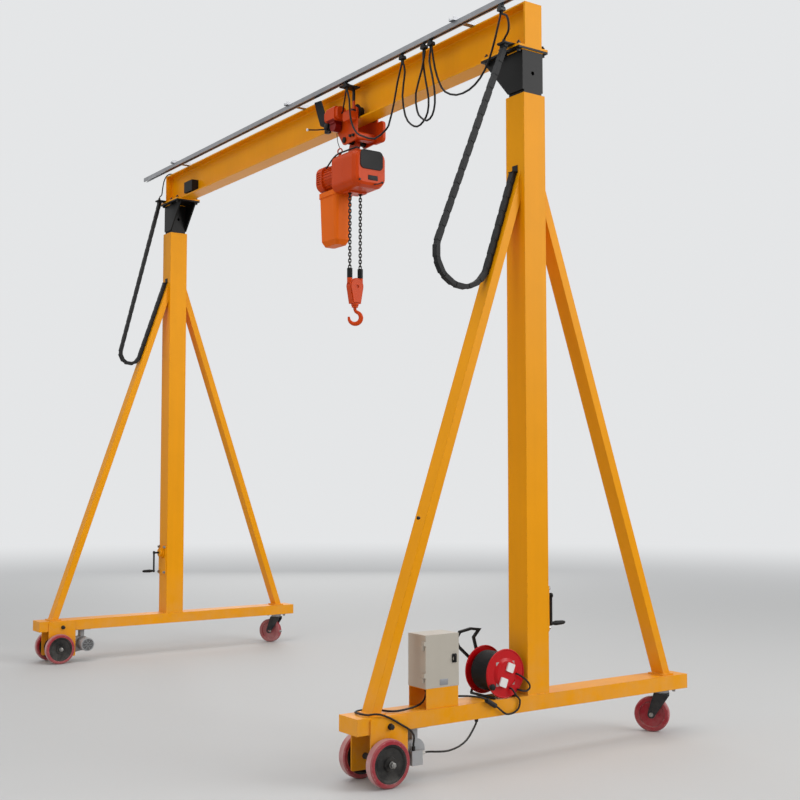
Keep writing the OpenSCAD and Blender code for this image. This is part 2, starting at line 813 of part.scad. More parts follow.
// Cable wound on the hub, its turns showing side by side
module reel_cable() {
    turns = floor((reel_w - 46) / reel_cable_d);
    color(black) at_reel() rotate([0, 90, 0]) rotate_extrude($fn = fine_fn) {
        translate([reel_hub_d / 2 + seat_gap, -turns * reel_cable_d / 2])
            square([(reel_coil_d - reel_hub_d - reel_cable_d) / 2, turns * reel_cable_d]);
        for (i = [0:turns - 1])
            translate([(reel_coil_d - reel_cable_d) / 2, (i + 0.5 - turns / 2) * reel_cable_d])
                circle(d = reel_cable_d + 0.4, $fn = 16);
    }
}

// Beam

// Rolled section with fillets at the web
module beam_outline() {
    for (side = [-1, 1]) translate([0, side * (beam_h - flange_t) / 2])
        square([beam_w, flange_t], center = true);
    square([web_t, beam_h - flange_t], center = true);
    for (y = [-1, 1], z = [-1, 1]) scale([y, z])
        translate([web_t / 2 - 0.01, beam_h / 2 - flange_t - web_fillet + 0.01]) difference() {
            square(web_fillet);
            translate([web_fillet, 0]) circle(web_fillet);
        }
}

module beam() {
    color(yellow) translate([0, 0, beam_z + beam_h / 2]) across(2 * (beam_half - plate_t)) beam_outline();
}

module head_plates() {
    color(yellow) both_frames() {
        translate([-head_plate_in, -head_plate_w / 2, head_plate_z])
            cube([head_plate_in + head_plate_out, head_plate_w, plate_t]);
        translate([head_plate_out - plate_t, -beam_w / 2, beam_z]) cube([plate_t, beam_w, beam_h]);
    }
}

head_pin_d = 22;
head_pin_z = column_top + 118;
drag_arm_t = 8;

// Plate on the head plate that carries the drag chain's moving end
module drag_arm() {
    translate([-30, drag_top[0] - 25, beam_z]) cube([60, -drag_top[0] + 25 - beam_w / 2 - 2, drag_arm_t]);
}

module heads() {
    color(black) both_frames() {
        difference() {
            translate([0, 0, column_top - head_inside])
                tube(head_tube_w, head_tube_w, head_tube_wall, head_inside + head_show);
            translate([0, 0, head_pin_z]) rotate([0, 90, 0]) cylinder(d = head_pin_d, h = 200, center = true);
        }
        translate([-head_plate_in, -head_plate_w / 2, head_flange_z])
            cube([head_plate_in + head_plate_out, head_plate_w, plate_t]);
        for (side = [-1, 1]) translate([0, side * (head_tube_w + gusset_t) / 2, head_flange_z])
            along_y(gusset_t) polygon([
                [-head_plate_in + 10, 0], [-head_plate_in + 10, -15],
                [-head_tube_w / 2, -gusset_drop], [head_tube_w / 2, -gusset_drop], [head_tube_w / 2, 0]]);
        drag_arm();
    }
}

// Cable rail

arm_wall = 2.5;
fixed_x = near_x + 15;

// Rail with its slot downwards, its three arms, and the fixed saddle at the near end
module cable_rail() {
    color(zinc) {
        rotate([90, 0, 90]) linear_extrude(2 * rail_half, center = true)
            translate([-rail_y, rail_z]) difference() {
                translate([-rail_w / 2, 0]) square([rail_w, rail_h]);
                translate([-rail_w / 2 + rail_t, rail_t]) square([rail_w - 2 * rail_t, rail_h - 2 * rail_t]);
                translate([-rail_slot / 2, -1]) square([rail_slot, rail_t + 2]);
            }
        for (x = [-arm_x, 0, arm_x])
            translate([x, (beam_w / 2 - rail_y - rail_w) / 2, beam_top]) along_y(beam_w / 2 + rail_y + rail_w)
                difference() {
                    translate([-arm_w / 2, 0]) square([arm_w, arm_h]);
                    translate([-arm_w / 2 + arm_wall, arm_wall]) square([arm_w - 2 * arm_wall, arm_h]);
                }
        translate([fixed_x, -rail_y, rail_z]) {
            saddle();
            translate([0, 0, 1 - clamp_drop / 2 + 5]) cube([22, 24, clamp_drop - 10], center = true);
        }
    }
}

junction_d = 60;
junction_h = 90;

module junction_box() {
    color(black) translate([-near_x + 380, -web_t / 2 - seat_gap - junction_d / 2,
        beam_z + flange_t + web_fillet + 1 + junction_h / 2])
            cube([150, junction_d, junction_h], center = true);
}

// Trolley and hoist

plate_gap = 14;
trolley_y = beam_w / 2 + plate_gap;
side_t = 10;
trolley_half = 120;
pin_z = beam_z - pin_drop;
hoist_top = pin_z - hoist_drop;
hoist_x = load_x - 82;
wheel_z = beam_z + flange_t + trolley_wheel_d / 2 + seat_gap;
wheel_flange_d = trolley_wheel_d + 22;
wheel_axle_d = 24;
wheel_teeth = 28;

lobe_x = 112;

// Side plate: broad at the wheels, with a lobe at the pin and another beside it
module side_plate() {
    corner = wheel_axle_d + 8;
    difference() {
        union() {
            belt([-trolley_half, wheel_z], corner, [trolley_half, wheel_z], corner);
            belt([-trolley_half, wheel_z], corner, [0, pin_z], pin_d + 4);
            belt([trolley_half, wheel_z], corner, [lobe_x, pin_z + 8], pin_d + 6);
            belt([0, pin_z], pin_d + 4, [lobe_x, pin_z + 8], pin_d + 6);
            polygon([[-trolley_half, wheel_z], [trolley_half, wheel_z], [lobe_x, pin_z + 8], [0, pin_z]]);
        }
        for (end = [-1, 1]) translate([end * trolley_half, wheel_z])
            circle(d = wheel_axle_d + 2 * bore_gap);
        translate([0, pin_z]) circle(d = pin_d + 2 * bore_gap);
    }
}

// Both plates and the block that ties them under the beam
module trolley_plates() {
    color(orange) translate([load_x, 0, 0]) {
        for (side = [-1, 1]) translate([0, side * (trolley_y + side_t / 2), 0]) along_y(side_t) side_plate();
        translate([lobe_x - 14, 0, pin_z + 8]) along_y(2 * trolley_y + 2) rounded(76, 50, 14);
    }
}

// Flanged wheel on its axle, drawn outwards from the middle of the beam
module trolley_wheel(geared) {
    tread = trolley_wheel_d / 2;
    inner = beam_w / 2 - 32;
    outer = beam_w / 2 + 2;
    rotate_extrude($fn = fine_fn) polygon([
        [0, inner], [tread - 2, inner], [tread, inner + 2], [tread, outer],
        [wheel_flange_d / 2, outer], [wheel_flange_d / 2, outer + 6], [wheel_axle_d / 2, outer + 6],
        [wheel_axle_d / 2, trolley_y + side_t - 1], [0, trolley_y + side_t - 1]]);
    if (geared) translate([0, 0, outer + 5]) linear_extrude(5) difference() {
        circle(d = wheel_flange_d + 8, $fn = fine_fn);
        for (i = [0:wheel_teeth - 1]) rotate(i * 360 / wheel_teeth)
            translate([wheel_flange_d / 2 + 4, 0]) circle(d = 6, $fn = 16);
    }
}

module trolley_wheels() {
    color(black) for (side = [-1, 1], end = [-1, 1])
        translate([load_x + end * trolley_half, 0, wheel_z])
            rotate([-side * 90, 0, 0]) trolley_wheel(side < 0);
}

drive_l = 165;
drive_h = 94;
drive_depth = 78;
tow_x = load_x + 173;

// Arm that pulls the first saddle along the rail
module tow_arm() {
    bar = 8;
    foot_x = load_x + trolley_half - 15;
    level = rail_z - clamp_drop + 14;
    translate([foot_x, -trolley_y - side_t - seat_gap - bar, wheel_z + 12]) cube([24, bar, level - wheel_z]);
    translate([foot_x, -rail_y - 12, level]) cube([tow_x - foot_x + 14, rail_y + 12 - trolley_y - side_t, bar]);
}

// Geared brake motor on the plate of the driven side, its gears and its cover plate
module trolley_drive() {
    face = -trolley_y - side_t - seat_gap;
    drive_x = load_x - 58;
    color(orange) {
        translate([drive_x, face - drive_depth / 2, beam_z + 56]) {
            across(drive_l - 60) rounded(drive_depth, drive_h, 16);
            for (end = [-1, 1]) translate([end * (drive_l / 2 - 17), 0, 0])
                across(34) rounded(drive_depth - 12, drive_h - 12, 26);
        }
        translate([load_x + 100, face - 26, beam_z + 12]) along_y(52) rounded(86, 62, 12);
        translate([drive_x, face - 34, beam_z - 18]) rotate([90, 0, 0])
            cylinder(d = 74, h = 44, center = true, $fn = fine_fn);
        translate([drive_x, face - 34, beam_z + 12]) cube([60, 60, 30], center = true);
        translate([drive_x - 97, face - 41, beam_z + 56]) cube([60, 20, 30], center = true);
        translate([drive_x, face - 41, beam_z]) along_y(8)
            polygon([[-257, 207], [-174, 200], [-102, 55], [-132, 5], [-177, 25], [-222, 120]]);
        tow_arm();
        cable_trolley(tow_x);
    }
}

lug_t = 36;
spacer_d = 46;

// Pin through both plates, its spacers, and the yoke that carries the hoist
module hoist_hanger() {
    color(black) translate([load_x, 0, pin_z]) rotate([90, 0, 0]) {
        cylinder(d = pin_d, h = 2 * (trolley_y + side_t + 9), center = true);
        for (side = [-1, 1]) {
            translate([0, 0, side * (lug_t / 2 + seat_gap + trolley_y) / 2])
                cylinder(d = spacer_d, h = trolley_y - lug_t / 2 - 2 * seat_gap, center = true);
            translate([0, 0, side * (trolley_y + side_t + 4)]) cylinder(d = pin_d + 12, h = 7, center = true);
        }
    }
}

gear_case_x = [-13, 117];
motor_case_x = -193;
motor_rise = 15;
rib_n = 28;
rib_h = 6;
guide_h = 10;
fall_bore = 32;
fall_depth = 12;
case_r = 54;

// Gear case, ribbed motor case, the lug on top and the chain guide under it
module hoist_body() {
    middle = hoist_top - hoist_h / 2;
    color(orange) difference() {
        union() {
            translate([hoist_x + (gear_case_x[0] + gear_case_x[1]) / 2, 0, middle])
                across(gear_case_x[1] - gear_case_x[0]) rounded(hoist_w, hoist_h, case_r);
            translate([hoist_x + (motor_case_x + gear_case_x[0] + 1) / 2, 0, middle + motor_rise])
                across(gear_case_x[0] - motor_case_x + 1) {
                    circle(d = hoist_motor_d - 2 * rib_h, $fn = fine_fn);
                    for (i = [0:rib_n - 1]) rotate(i * 360 / rib_n)
                        translate([hoist_motor_d / 2 - rib_h, 0]) square([2 * rib_h, 5], center = true);
                }
            translate([load_x, 0, 0]) along_y(lug_t)
                belt([0, pin_z], pin_d + 6, [-20, hoist_top + 6], 46);
            translate([load_x - 27, 0, hoist_top + 6]) cube([120, 96, 20], center = true);
            translate([load_x, 0, hoist_top - hoist_h - guide_h / 2 + 1])
                cube([66, fall_pitch + 56, guide_h + 2], center = true);
        }
        translate([load_x, 0, pin_z]) along_y(lug_t + 2) circle(d = pin_d + 2 * bore_gap);
        for (side = [-1, 1])
            translate([load_x, side * fall_pitch / 2, hoist_top - hoist_h - guide_h - 1])
                cylinder(d = fall_bore, h = guide_h + 1 + fall_depth);
    }
}

louvres = 6;

// Fan cover with louvres at one end, and the rounded control cover at the other
module hoist_covers() {
    middle = hoist_top - hoist_h / 2;
    fan_l = hoist_l / 2 + motor_case_x;
    cover_l = hoist_l / 2 - gear_case_x[1];
    color(orange) {
        translate([hoist_x + motor_case_x - fan_l / 2 - seat_gap, 0, middle + motor_rise]) difference() {
            hull() {
                translate([6, 0, 0]) across(fan_l - 12) rounded(hoist_motor_d + 6, hoist_motor_d - 6, 60);
                across(fan_l) rounded(hoist_motor_d - 18, hoist_motor_d - 30, 52);
            }
            for (side = [-1, 1], i = [0:louvres - 1])
                translate([4, side * (hoist_motor_d / 2 + 3), (i - (louvres - 1) / 2) * 15])
                    cube([fan_l - 30, 16, 7], center = true);
        }
        translate([hoist_x + gear_case_x[1] + seat_gap, 0, middle]) hull() {
            translate([1, 0, 0]) across(2) rounded(hoist_w, hoist_h, case_r);
            translate([cover_l * 0.7, 0, 0]) across(2) rounded(hoist_w - 4, hoist_h - 4, case_r);
            translate([cover_l * 0.92, 0, 0]) across(2) rounded(hoist_w - 22, hoist_h - 22, case_r);
            translate([cover_l - 1, 0, 0]) across(2) rounded(hoist_w - 54, hoist_h - 54, case_r - 10);
        }
    }
}

bucket_x = load_x - 220;
bucket_y = -15;
bucket_w = 230;
bucket_d = 150;
bucket_wall = 3;
lip_h = 34;
bucket_drop = 12;

// One level of the bucket: a rounded outline drawn in by an amount
module bucket_level(z, inset, h = 1) {
    translate([0, 0, z]) linear_extrude(h)
        rounded(bucket_w - 2 * inset, bucket_d - 2 * inset, 34 - inset / 2);
}

// Deep tapered bucket with a broad lip, hung from the motor case by two straps
module chain_bucket() {
    top = hoist_top - hoist_h / 2 + motor_rise - hoist_motor_d / 2 - bucket_drop;
    color(orange) translate([bucket_x, bucket_y, top - bucket_h]) {
        difference() {
            union() {
                hull() {
                    bucket_level(0, 36);
                    bucket_level(34, 16);
                    bucket_level(bucket_h - lip_h, 6);
                }
                bucket_level(bucket_h - lip_h, 0, lip_h);
            }
            hull() {
                bucket_level(bucket_wall, 36 + bucket_wall);
                bucket_level(36, 16 + bucket_wall);
                bucket_level(bucket_h - 1, 6 + bucket_wall, 2);
            }
        }
        for (x = [-45, bucket_w / 2 - 22]) {
            translate([x - 10, -bucket_y - 6, bucket_h - 6]) cube([20, 12, bucket_drop + 6 - seat_gap]);
            translate([x - 10, -bucket_d / 2 + 1, bucket_h - 8]) cube([20, bucket_d - 2, 8]);
        }
    }
}

block_h = 170;
block_w = 106;
block_t = 58;
sleeve_d = 36;
sleeve_l = 64;
sleeve_bore = 28;
hook_shank_d = 22;
swivel_d = 50;
swivel_h = 12;
sleeve_depth = 30;
chain_top = hoist_top - hoist_h + fall_depth - seat_gap;
chain_low = hook_z + block_h / 2 + sleeve_l - sleeve_depth + seat_gap;

// One link standing on its end, its wire bent to two half circles
module chain_link() {
    bend = chain_d * 1.15;
    half = chain_pitch / 2 + chain_d / 2 - bend;
    for (end = [-1, 1]) {
        translate([0, 0, end * half]) rotate([90, end > 0 ? 0 : 180, 0])
            rotate_extrude(angle = 180, $fn = 24) translate([bend, 0]) circle(d = chain_d, $fn = 16);
        translate([end * bend, 0, 0]) cylinder(d = chain_d, h = 2 * half, center = true, $fn = 16);
    }
}

// Two falls of interlocked links, each turned a quarter against the next
module load_chain() {
    span = chain_top - chain_low - chain_pitch - 2 * chain_d;
    links = ceil(span / (chain_pitch - seat_gap));
    step = span / links;
    color(zinc) for (side = [-1, 1], i = [0:links])
        translate([load_x, side * fall_pitch / 2, chain_top - chain_pitch / 2 - chain_d - i * step])
            rotate(45 + 90 * (i % 2)) chain_link();
}

// Cheeks of the block, inset towards their faces
module block_outline(inset) {
    hull() {
        translate([0, block_h / 2 - block_w / 2]) circle(block_w / 2 - inset);
        translate([0, -block_h / 2 + 20 + inset]) square([block_w * 0.62 - 2 * inset, 40], center = true);
    }
}

module hook_block() {
    color(orange) translate([load_x, 0, hook_z]) {
        difference() {
            union() {
                across(block_t - 14) block_outline(0);
                across(block_t) block_outline(7);
                translate([0, 0, -block_h / 2 - swivel_h]) cylinder(d = swivel_d, h = swivel_h + 6);
            }
            translate([0, 0, -block_h / 2 - swivel_h - 1])
                cylinder(d = hook_shank_d + 2 * bore_gap, h = 40);
            for (side = [-1, 1]) translate([side * block_t / 2, 0, 28]) rotate([0, 90, 0])
                cylinder(d = 26, h = 12, center = true, $fn = 6);
        }
        for (side = [-1, 1]) translate([0, side * fall_pitch / 2, block_h / 2 - 36]) difference() {
            cylinder(d = sleeve_d, h = sleeve_l + 36);
            translate([0, 0, sleeve_l + 36 - sleeve_depth]) cylinder(d = sleeve_bore, h = sleeve_depth + 1);
        }
    }
}

hook_turn = 55;
hook_r = 40;
hook_thick = 15;
hook_drop = 68;
hook_steps = 20;

// Middle of the hook's body: down from the shank, round the bowl and up to the tip
function hook_path() = concat(
    [[0, hook_drop - 6], [0, hook_drop - 16], [6, hook_drop - 26]],
    [for (i = [0:hook_steps]) let (a = 52 - i * 242 / hook_steps) hook_r * [cos(a), sin(a)]]);

// Half thickness along the hook: full in the bowl, slim at the neck and the tip
function hook_half(i, n) = hook_thick * (0.5 + 0.55 * sin(180 * pow(i / (n - 1), 0.8)));

module hook() {
    path = hook_path();
    n = len(path);
    sides = 12;
    rings = [for (i = [0:n - 1])
        let (
            ahead = path[min(i + 1, n - 1)] - path[max(i - 1, 0)],
            u = [ahead[1], -ahead[0]] / norm(ahead),
            r = hook_half(i, n))
        [for (k = [0:sides - 1]) let (c = r * cos(k * 360 / sides), w = -0.85 * r * sin(k * 360 / sides))
            [path[i][0] + c * u[0], w, path[i][1] + c * u[1]]]];
    color(orange) translate([load_x, 0, hook_z - block_h / 2 - swivel_h - seat_gap]) rotate(hook_turn) {
        translate([0, 0, -26]) cylinder(d = hook_shank_d, h = 54);
        translate([0, 0, -12]) cylinder(d = swivel_d - 8, h = 12);
        translate([0, 0, -hook_drop - 12]) skin(rings, sides);
    }
}

// Cable trolleys in the rail

roller_x = 16;
clamp_drop = 40;

// Half-round saddle with its clamp plate, under the rail
module saddle() {
    translate([0, 0, 10 - clamp_drop]) along_y(30) difference() {
        circle(d = 40);
        translate([0, -20]) square([50, 26], center = true);
    }
    translate([0, 0, 4 - clamp_drop]) cube([28, 24, 6], center = true);
}

// Four rollers on the rail's lips, a stem through the slot and a saddle for the cable
module cable_trolley(x) {
    inner = rail_w - 2 * rail_t - 4;
    color(black) translate([x, -rail_y, rail_z]) {
        for (end = [-1, 1], side = [-1, 1])
            translate([end * roller_x / 2, side * (inner / 2 - 3), rail_t + seat_gap + 7]) rotate([90, 0, 0])
                cylinder(d = 14, h = 6, center = true);
        translate([0, 0, rail_t + seat_gap + 7]) cube([roller_x + 8, inner - 10, 8], center = true);
        translate([0, 0, -12]) cube([22, 6, 44], center = true);
        saddle();
    }
}

cable_trolley_xs = [1365, 1585, 1655];

module cable_trolley_a() { cable_trolley(cable_trolley_xs[0]); }
module cable_trolley_b() { cable_trolley(cable_trolley_xs[1]); }
module cable_trolley_c() { cable_trolley(cable_trolley_xs[2]); }

// Cables

cable_d = 12;
thin_cable_d = 10;
clamp_z = rail_z - clamp_drop + 1 - seat_gap;
clamp_side = 7;

// First side direction of a route, carried along it so that the rings never twist
function carried(ways, side, i = 0) = i >= len(ways) ? [] :
    let (s = side - (side * ways[i]) * ways[i], u = s / norm(s))
    concat([u], carried(ways, u, i + 1));

// Cross-sections square to a route
function swept_rings(route, r, sides) =
    let (
        n = len(route) - 1,
        ways = [for (i = [0:n]) let (a = route[min(i + 1, n)] - route[max(i - 1, 0)]) a / norm(a)],
        first = cross(ways[0], abs(ways[0][1]) > 0.9 ? [1, 0, 0] : [0, 1, 0]),
        us = carried(ways, first / norm(first)))
    [for (i = [0:n]) let (u = us[i], v = cross(ways[i], u))
        [for (k = [0:sides - 1]) route[i] + r * (cos(k * 360 / sides) * u + sin(k * 360 / sides) * v)]];

// Closed skin over rings of points
module skin(rings, sides) {
    n = len(rings);
    points = [for (ring = rings) each ring];
    walls = [for (i = [0:n - 2], k = [0:sides - 1])
        [i * sides + k, i * sides + (k + 1) % sides, (i + 1) * sides + (k + 1) % sides, (i + 1) * sides + k]];
    first = [for (k = [sides - 1:-1:0]) k];
    last = [for (k = [0:sides - 1]) (n - 1) * sides + k];
    polyhedron(points, concat([first, last], walls));
}

// A point more between each two inner points of a route, on a smooth curve
function smooth(r) = concat([r[0]],
    [for (i = [1:len(r) - 3]) each [r[i], (9 * (r[i] + r[i + 1]) - r[i - 1] - r[i + 2]) / 16]],
    [r[len(r) - 2], r[len(r) - 1]]);

module cable(route, d, sides = 8) {
    skin(swept_rings(smooth(route), d / 2, sides), sides);
}

// Loop between two saddles: distances along the rail are stretched to fit, drops are under
// the saddles, and what hangs free sways out of the rail's plane, in one wave or two
function hung(from, to, sway, points, waves = 1) =
    let (n = len(points) - 1, k = (to - from - 2 * clamp_side) / points[n][0])
    [for (i = [0:n]) [from + clamp_side + k * points[i][0],
        -rail_y + (i < 2 || i > n - 2 ? 0 : sway * sin(180 * waves * i / n)), clamp_z - points[i][1]]];

loop_one = [[0, 0], [0, 20], [13, 80], [-15, 215], [13, 345], [68, 410], [133, 440], [193, 425], [238, 380],
    [248, 300], [225, 200], [203, 100], [206, 20], [206, 0]];
loop_two = [[0, 0], [0, 20], [-12, 120], [-66, 250], [-47, 360], [-7, 410], [55, 445], [108, 425], [131, 360],
    [121, 270], [93, 180], [62, 90], [56, 20], [56, 0]];
swag = [[0, 0], [0, 20], [15, 140], [53, 230], [109, 300], [221, 350], [347, 355], [453, 320], [533, 250],
    [588, 150], [618, 70], [621, 20], [621, 0]];
tow_loop = [[0, 0], [0, 20], [31, 90], [41, 180], [68, 260], [125, 330], [202, 370], [331, 415], [457, 385],
    [491, 345], [533, 250], [573, 120], [613, 20], [613, 0]];

// Points by a head: X from the column, Y, and height as a share of the space over the drag arm
function at_head(x, side, points) = let (low = beam_z + drag_arm_t + seat_gap)
    [for (p = points) [x + side * p[0], p[1], low + p[2] * (beam_top - low)]];

near_lead = [[60, -181, 0.544], [78, -182, 0.35], [70, -176, 0.2], [45, -164, 0.15], [20, -154, 0.13],
    [5, -150, 0.09], [0, -150, 0.05], [0, -150, 0]];
far_lead = [[0, -150, 0], [0, -150, 0.05], [15, -140, 0.155], [55, -105, 0.285], [79, -88, 0.52],
    [82, -76, 0.8], [77, -58, 1.01], [50, -44, 1.086], [15, -36, 1.07], [-25, -32, 1.032], [-75, -30, 1.025]];

module beam_cables() {
    xs = cable_trolley_xs;
    flat_z = beam_top + thin_cable_d / 2 + 0.5;
    color(black) {
        cable(hung(xs[0], xs[1], 8, loop_one), cable_d);
        cable(hung(xs[1], xs[2], -26, loop_two), cable_d);
        cable(hung(xs[2], fixed_x, 14, swag, 2), cable_d);
        cable(concat([[fixed_x + clamp_side, -rail_y, clamp_z], [fixed_x + clamp_side, -rail_y, clamp_z - 15]],
            at_head(near_x, 1, near_lead)), cable_d);
        cable(concat(at_head(-near_x, -1, far_lead),
            [[-near_x + 225, -24, flat_z], [-arm_x - arm_w / 2 - 60, -20, flat_z],
             [-arm_x - arm_w / 2 - seat_gap, -20, flat_z]]), thin_cable_d);
    }
}

// From the first saddle to the end of the trolley's drive: X and Y from the load line, and drop
drive_cable = [[166, 180, 0], [166, 180, 20], [151, 178, 62], [125, 170, 97], [90, 152, 109], [55, 132, 117],
    [35, 124, 120], [25, 123, 120]];

module hoist_cables() {
    color(black) {
        cable(hung(tow_x, cable_trolley_xs[0], -6, tow_loop), cable_d);
        cable([for (p = drive_cable) [load_x + p[0], -p[1], clamp_z - p[2]]], thin_cable_d);
    }
}

// Leads on the near sill: X from the column's centre, Y, and height over the sill's top
function on_sill(points) = [for (p = points) [near_x + p[0], p[1], sill_top + p[2]]];

drive_lead = [[17, -690, 95.7], [17, -690, 80], [18, -696, 55], [25, -718, 30], [31, -760, 15],
    [37, -806, 10], [41, -878, 6.5], [18, -920, 6.5], [-25, -934, 6.5], [-60, -945, 6.5], [-73, -972, 6.5],
    [-73, -1030, 6.5], [-50, -1066, 7], [-15, -1074, 8], [22, -1075, 9], [62, -1066, 11], [80, -1048, 15],
    [92, -1019, 13], [94, -959, -11], [95, -893, -50], [96, -844, -80], [78, -810, -112], [61, -797, -141],
    [54, -795, -158], [54, -795, -171.7]];
sill_lead = [[54, -728.7, -208], [54, -716, -208], [60, -690, -209], [72, -650, -212], [82, -600, -212],
    [87, -540, -198], [86, -490, -173], [76, -447, -137], [59, -410, -108], [55, -403, -96], [55, -403, -80.3]];
reel_lead = [[66, -189, 49], [78, -189, 49], [88, -184, 38], [91, -165, 10], [91, -143, -12], [91, -150, -50],
    [91, -177, -69], [91, -205, -75], [92, -237, -73], [94, -270, -52], [95, -293, -34.4], [95, -310, -24]];
coupler = [[95, -310.6, -23.7], [95, -328, -13], [95, -351, 1.1], [95, -369, 12]];
box_lead = [[95, -369.6, 12.4], [95, -386, 22.4], [91, -404, 29], [84, -427, 33], [68, -465, 38],
    [50, -505, 40], [38, -545, 42], [31, -580, 58], [30, -590, 80], [30, -590, 95.7]];
socket_lead = [[76, -155, 122], [86, -152, 120], [91, -130, 107], [91, -101, 86], [91, -80, 66], [91, -74, 48],
    [91, -84, 35], [91, -101, 30], [88, -125, 33], [80, -140, 38], [70, -142, 39]];
coupler_d = 26;

module frame_cables() {
    color(black) {
        for (lead = [drive_lead, sill_lead, reel_lead, box_lead, socket_lead])
            cable(on_sill(lead), thin_cable_d);
        cable(on_sill(coupler), coupler_d, 12);
    }
}

sills();
columns();
braces();
drive_brackets();
travel_gearmotors();
near_drive_wheels();
near_drive_tyres();
far_drive_wheels();
far_drive_tyres();
caster_plates();
near_caster_fork();
near_caster_wheel();
far_caster_fork();
far_caster_wheel();
lift_gearboxes();
near_crank();
far_crank();
drag_chains();
control_box_stand();
control_box();
control_box_door();
reel_stand();
reel_drum();
reel_cable();
frame_cables();
beam();
head_plates();
heads();
cable_rail();
junction_box();
trolley_plates();
trolley_wheels();
trolley_drive();
hoist_hanger();
hoist_body();
hoist_covers();
chain_bucket();
load_chain();
hook_block();
hook();
cable_trolley_a();
cable_trolley_b();
cable_trolley_c();
beam_cables();
hoist_cables();
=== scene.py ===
import math
import bpy
import bmesh
from mathutils import Matrix, Vector


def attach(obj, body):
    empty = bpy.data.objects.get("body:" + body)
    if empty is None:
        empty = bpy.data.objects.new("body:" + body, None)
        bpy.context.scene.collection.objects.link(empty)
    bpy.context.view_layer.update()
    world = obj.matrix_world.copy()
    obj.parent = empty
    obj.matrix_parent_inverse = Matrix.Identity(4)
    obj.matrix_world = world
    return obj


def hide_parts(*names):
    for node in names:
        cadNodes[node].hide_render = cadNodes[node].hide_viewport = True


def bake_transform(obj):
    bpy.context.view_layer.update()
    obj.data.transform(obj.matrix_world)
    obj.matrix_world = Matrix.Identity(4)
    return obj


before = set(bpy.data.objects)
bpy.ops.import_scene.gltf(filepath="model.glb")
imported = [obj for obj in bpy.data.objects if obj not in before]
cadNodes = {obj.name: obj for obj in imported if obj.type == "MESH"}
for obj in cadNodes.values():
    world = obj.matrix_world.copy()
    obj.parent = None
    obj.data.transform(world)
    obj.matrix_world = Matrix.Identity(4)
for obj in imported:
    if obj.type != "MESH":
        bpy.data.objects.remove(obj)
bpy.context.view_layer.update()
scene = bpy.context.scene
print("frame loaded:", len(cadNodes), "nodes")

# camera, floor and light

photoCamera = {"place": (7.13273, -4.24749, 1.47989), "turn": (93.59, 0, 54.93), "lens": 53.72}

cameraData = bpy.data.cameras.new("photoCamera")
cameraData.lens = photoCamera["lens"]
cameraData.sensor_width = 36
cameraData.clip_end = 200
camera = bpy.data.objects.new("photoCamera", cameraData)
camera.location = photoCamera["place"]
camera.rotation_euler = [math.radians(angle) for angle in photoCamera["turn"]]
scene.collection.objects.link(camera)
scene.camera = camera

studio = {
    "worldColor": (0.94, 0.96, 1.0), "worldLevel": 0.42, "backdrop": (0.78, 0.79, 0.80),
    "floorColor": (0.56, 0.56, 0.55), "floorSize": 90, "floorRough": 0.7, "fade": (4.5, 19.0),
    "lamps": [  # name, place, aimed at, size, power
        ("windowLamp", (8.5, 5.5, 5.5), (0.5, 0, 2.0), 6.0, 520),
        ("roofLamp", (1.0, -1.5, 9.0), (0, 0, 1.5), 8.0, 330),
        ("fillLamp", (2.0, -9.5, 3.6), (0, 0, 1.8), 6.0, 185),
        ("backLamp", (-8.0, 5.0, 4.0), (0, 0, 2.0), 6.0, 150),
    ],
}


def aim(thing, target):
    thing.rotation_euler = (Vector(target) - thing.location).to_track_quat("-Z", "Y").to_euler()


for name, place, target, size, power in studio["lamps"]:
    lampData = bpy.data.lights.new(name, "AREA")
    lampData.size = size
    lampData.energy = power
    lamp = bpy.data.objects.new(name, lampData)
    lamp.location = place
    aim(lamp, target)
    scene.collection.objects.link(lamp)

world = bpy.data.worlds.new("studio")
scene.world = world
world.use_nodes = True
sky = world.node_tree.nodes["Background"]
sky.inputs["Color"].default_value = (*studio["worldColor"], 1)
sky.inputs["Strength"].default_value = studio["worldLevel"]
seen = world.node_tree.nodes.new("ShaderNodeBackground")
seen.inputs["Color"].default_value = (*studio["backdrop"], 1)
rays = world.node_tree.nodes.new("ShaderNodeLightPath")
either = world.node_tree.nodes.new("ShaderNodeMath")
either.operation = "MAXIMUM"
pick = world.node_tree.nodes.new("ShaderNodeMixShader")
link = world.node_tree.links.new
link(rays.outputs["Is Camera Ray"], either.inputs[0])
link(rays.outputs["Is Glossy Ray"], either.inputs[1])
link(either.outputs[0], pick.inputs["Fac"])
link(sky.outputs[0], pick.inputs[1])
link(seen.outputs[0], pick.inputs[2])
link(pick.outputs[0], world.node_tree.nodes["World Output"].inputs["Surface"])
scene.view_settings.view_transform = "Standard"

# shader groups that several finishes share


def shade(hexText):
    values = [int(hexText[i:i + 2], 16) / 255 for i in (1, 3, 5)]
    return tuple(v / 12.92 if v < 0.04045 else ((v + 0.055) / 1.055) ** 2.4 for v in values)


def addNode(tree, kind, inputs=None, **settings):
    node = tree.nodes.new("ShaderNode" + kind)
    for key, value in settings.items():
        setattr(node, key, value)
    for key, value in (inputs or {}).items():
        socket = node.inputs[key]
        if isinstance(value, bpy.types.NodeSocket):
            tree.links.new(value, socket)
        else:
            socket.default_value = value
    return node


def math2(tree, operation, a, b=0.0, clamp=False):
    return addNode(tree, "Math", {0: a, 1: b}, operation=operation, use_clamp=clamp).outputs[0]


def mixColor(tree, factor, a, b, blend="MIX"):
    node = addNode(tree, "Mix", {0: factor}, data_type="RGBA", blend_type=blend)
    for index, value in ((6, a), (7, b)):
        if isinstance(value, bpy.types.NodeSocket):
            tree.links.new(value, node.inputs[index])
        else:
            node.inputs[index].default_value = value
    return node.outputs[2]


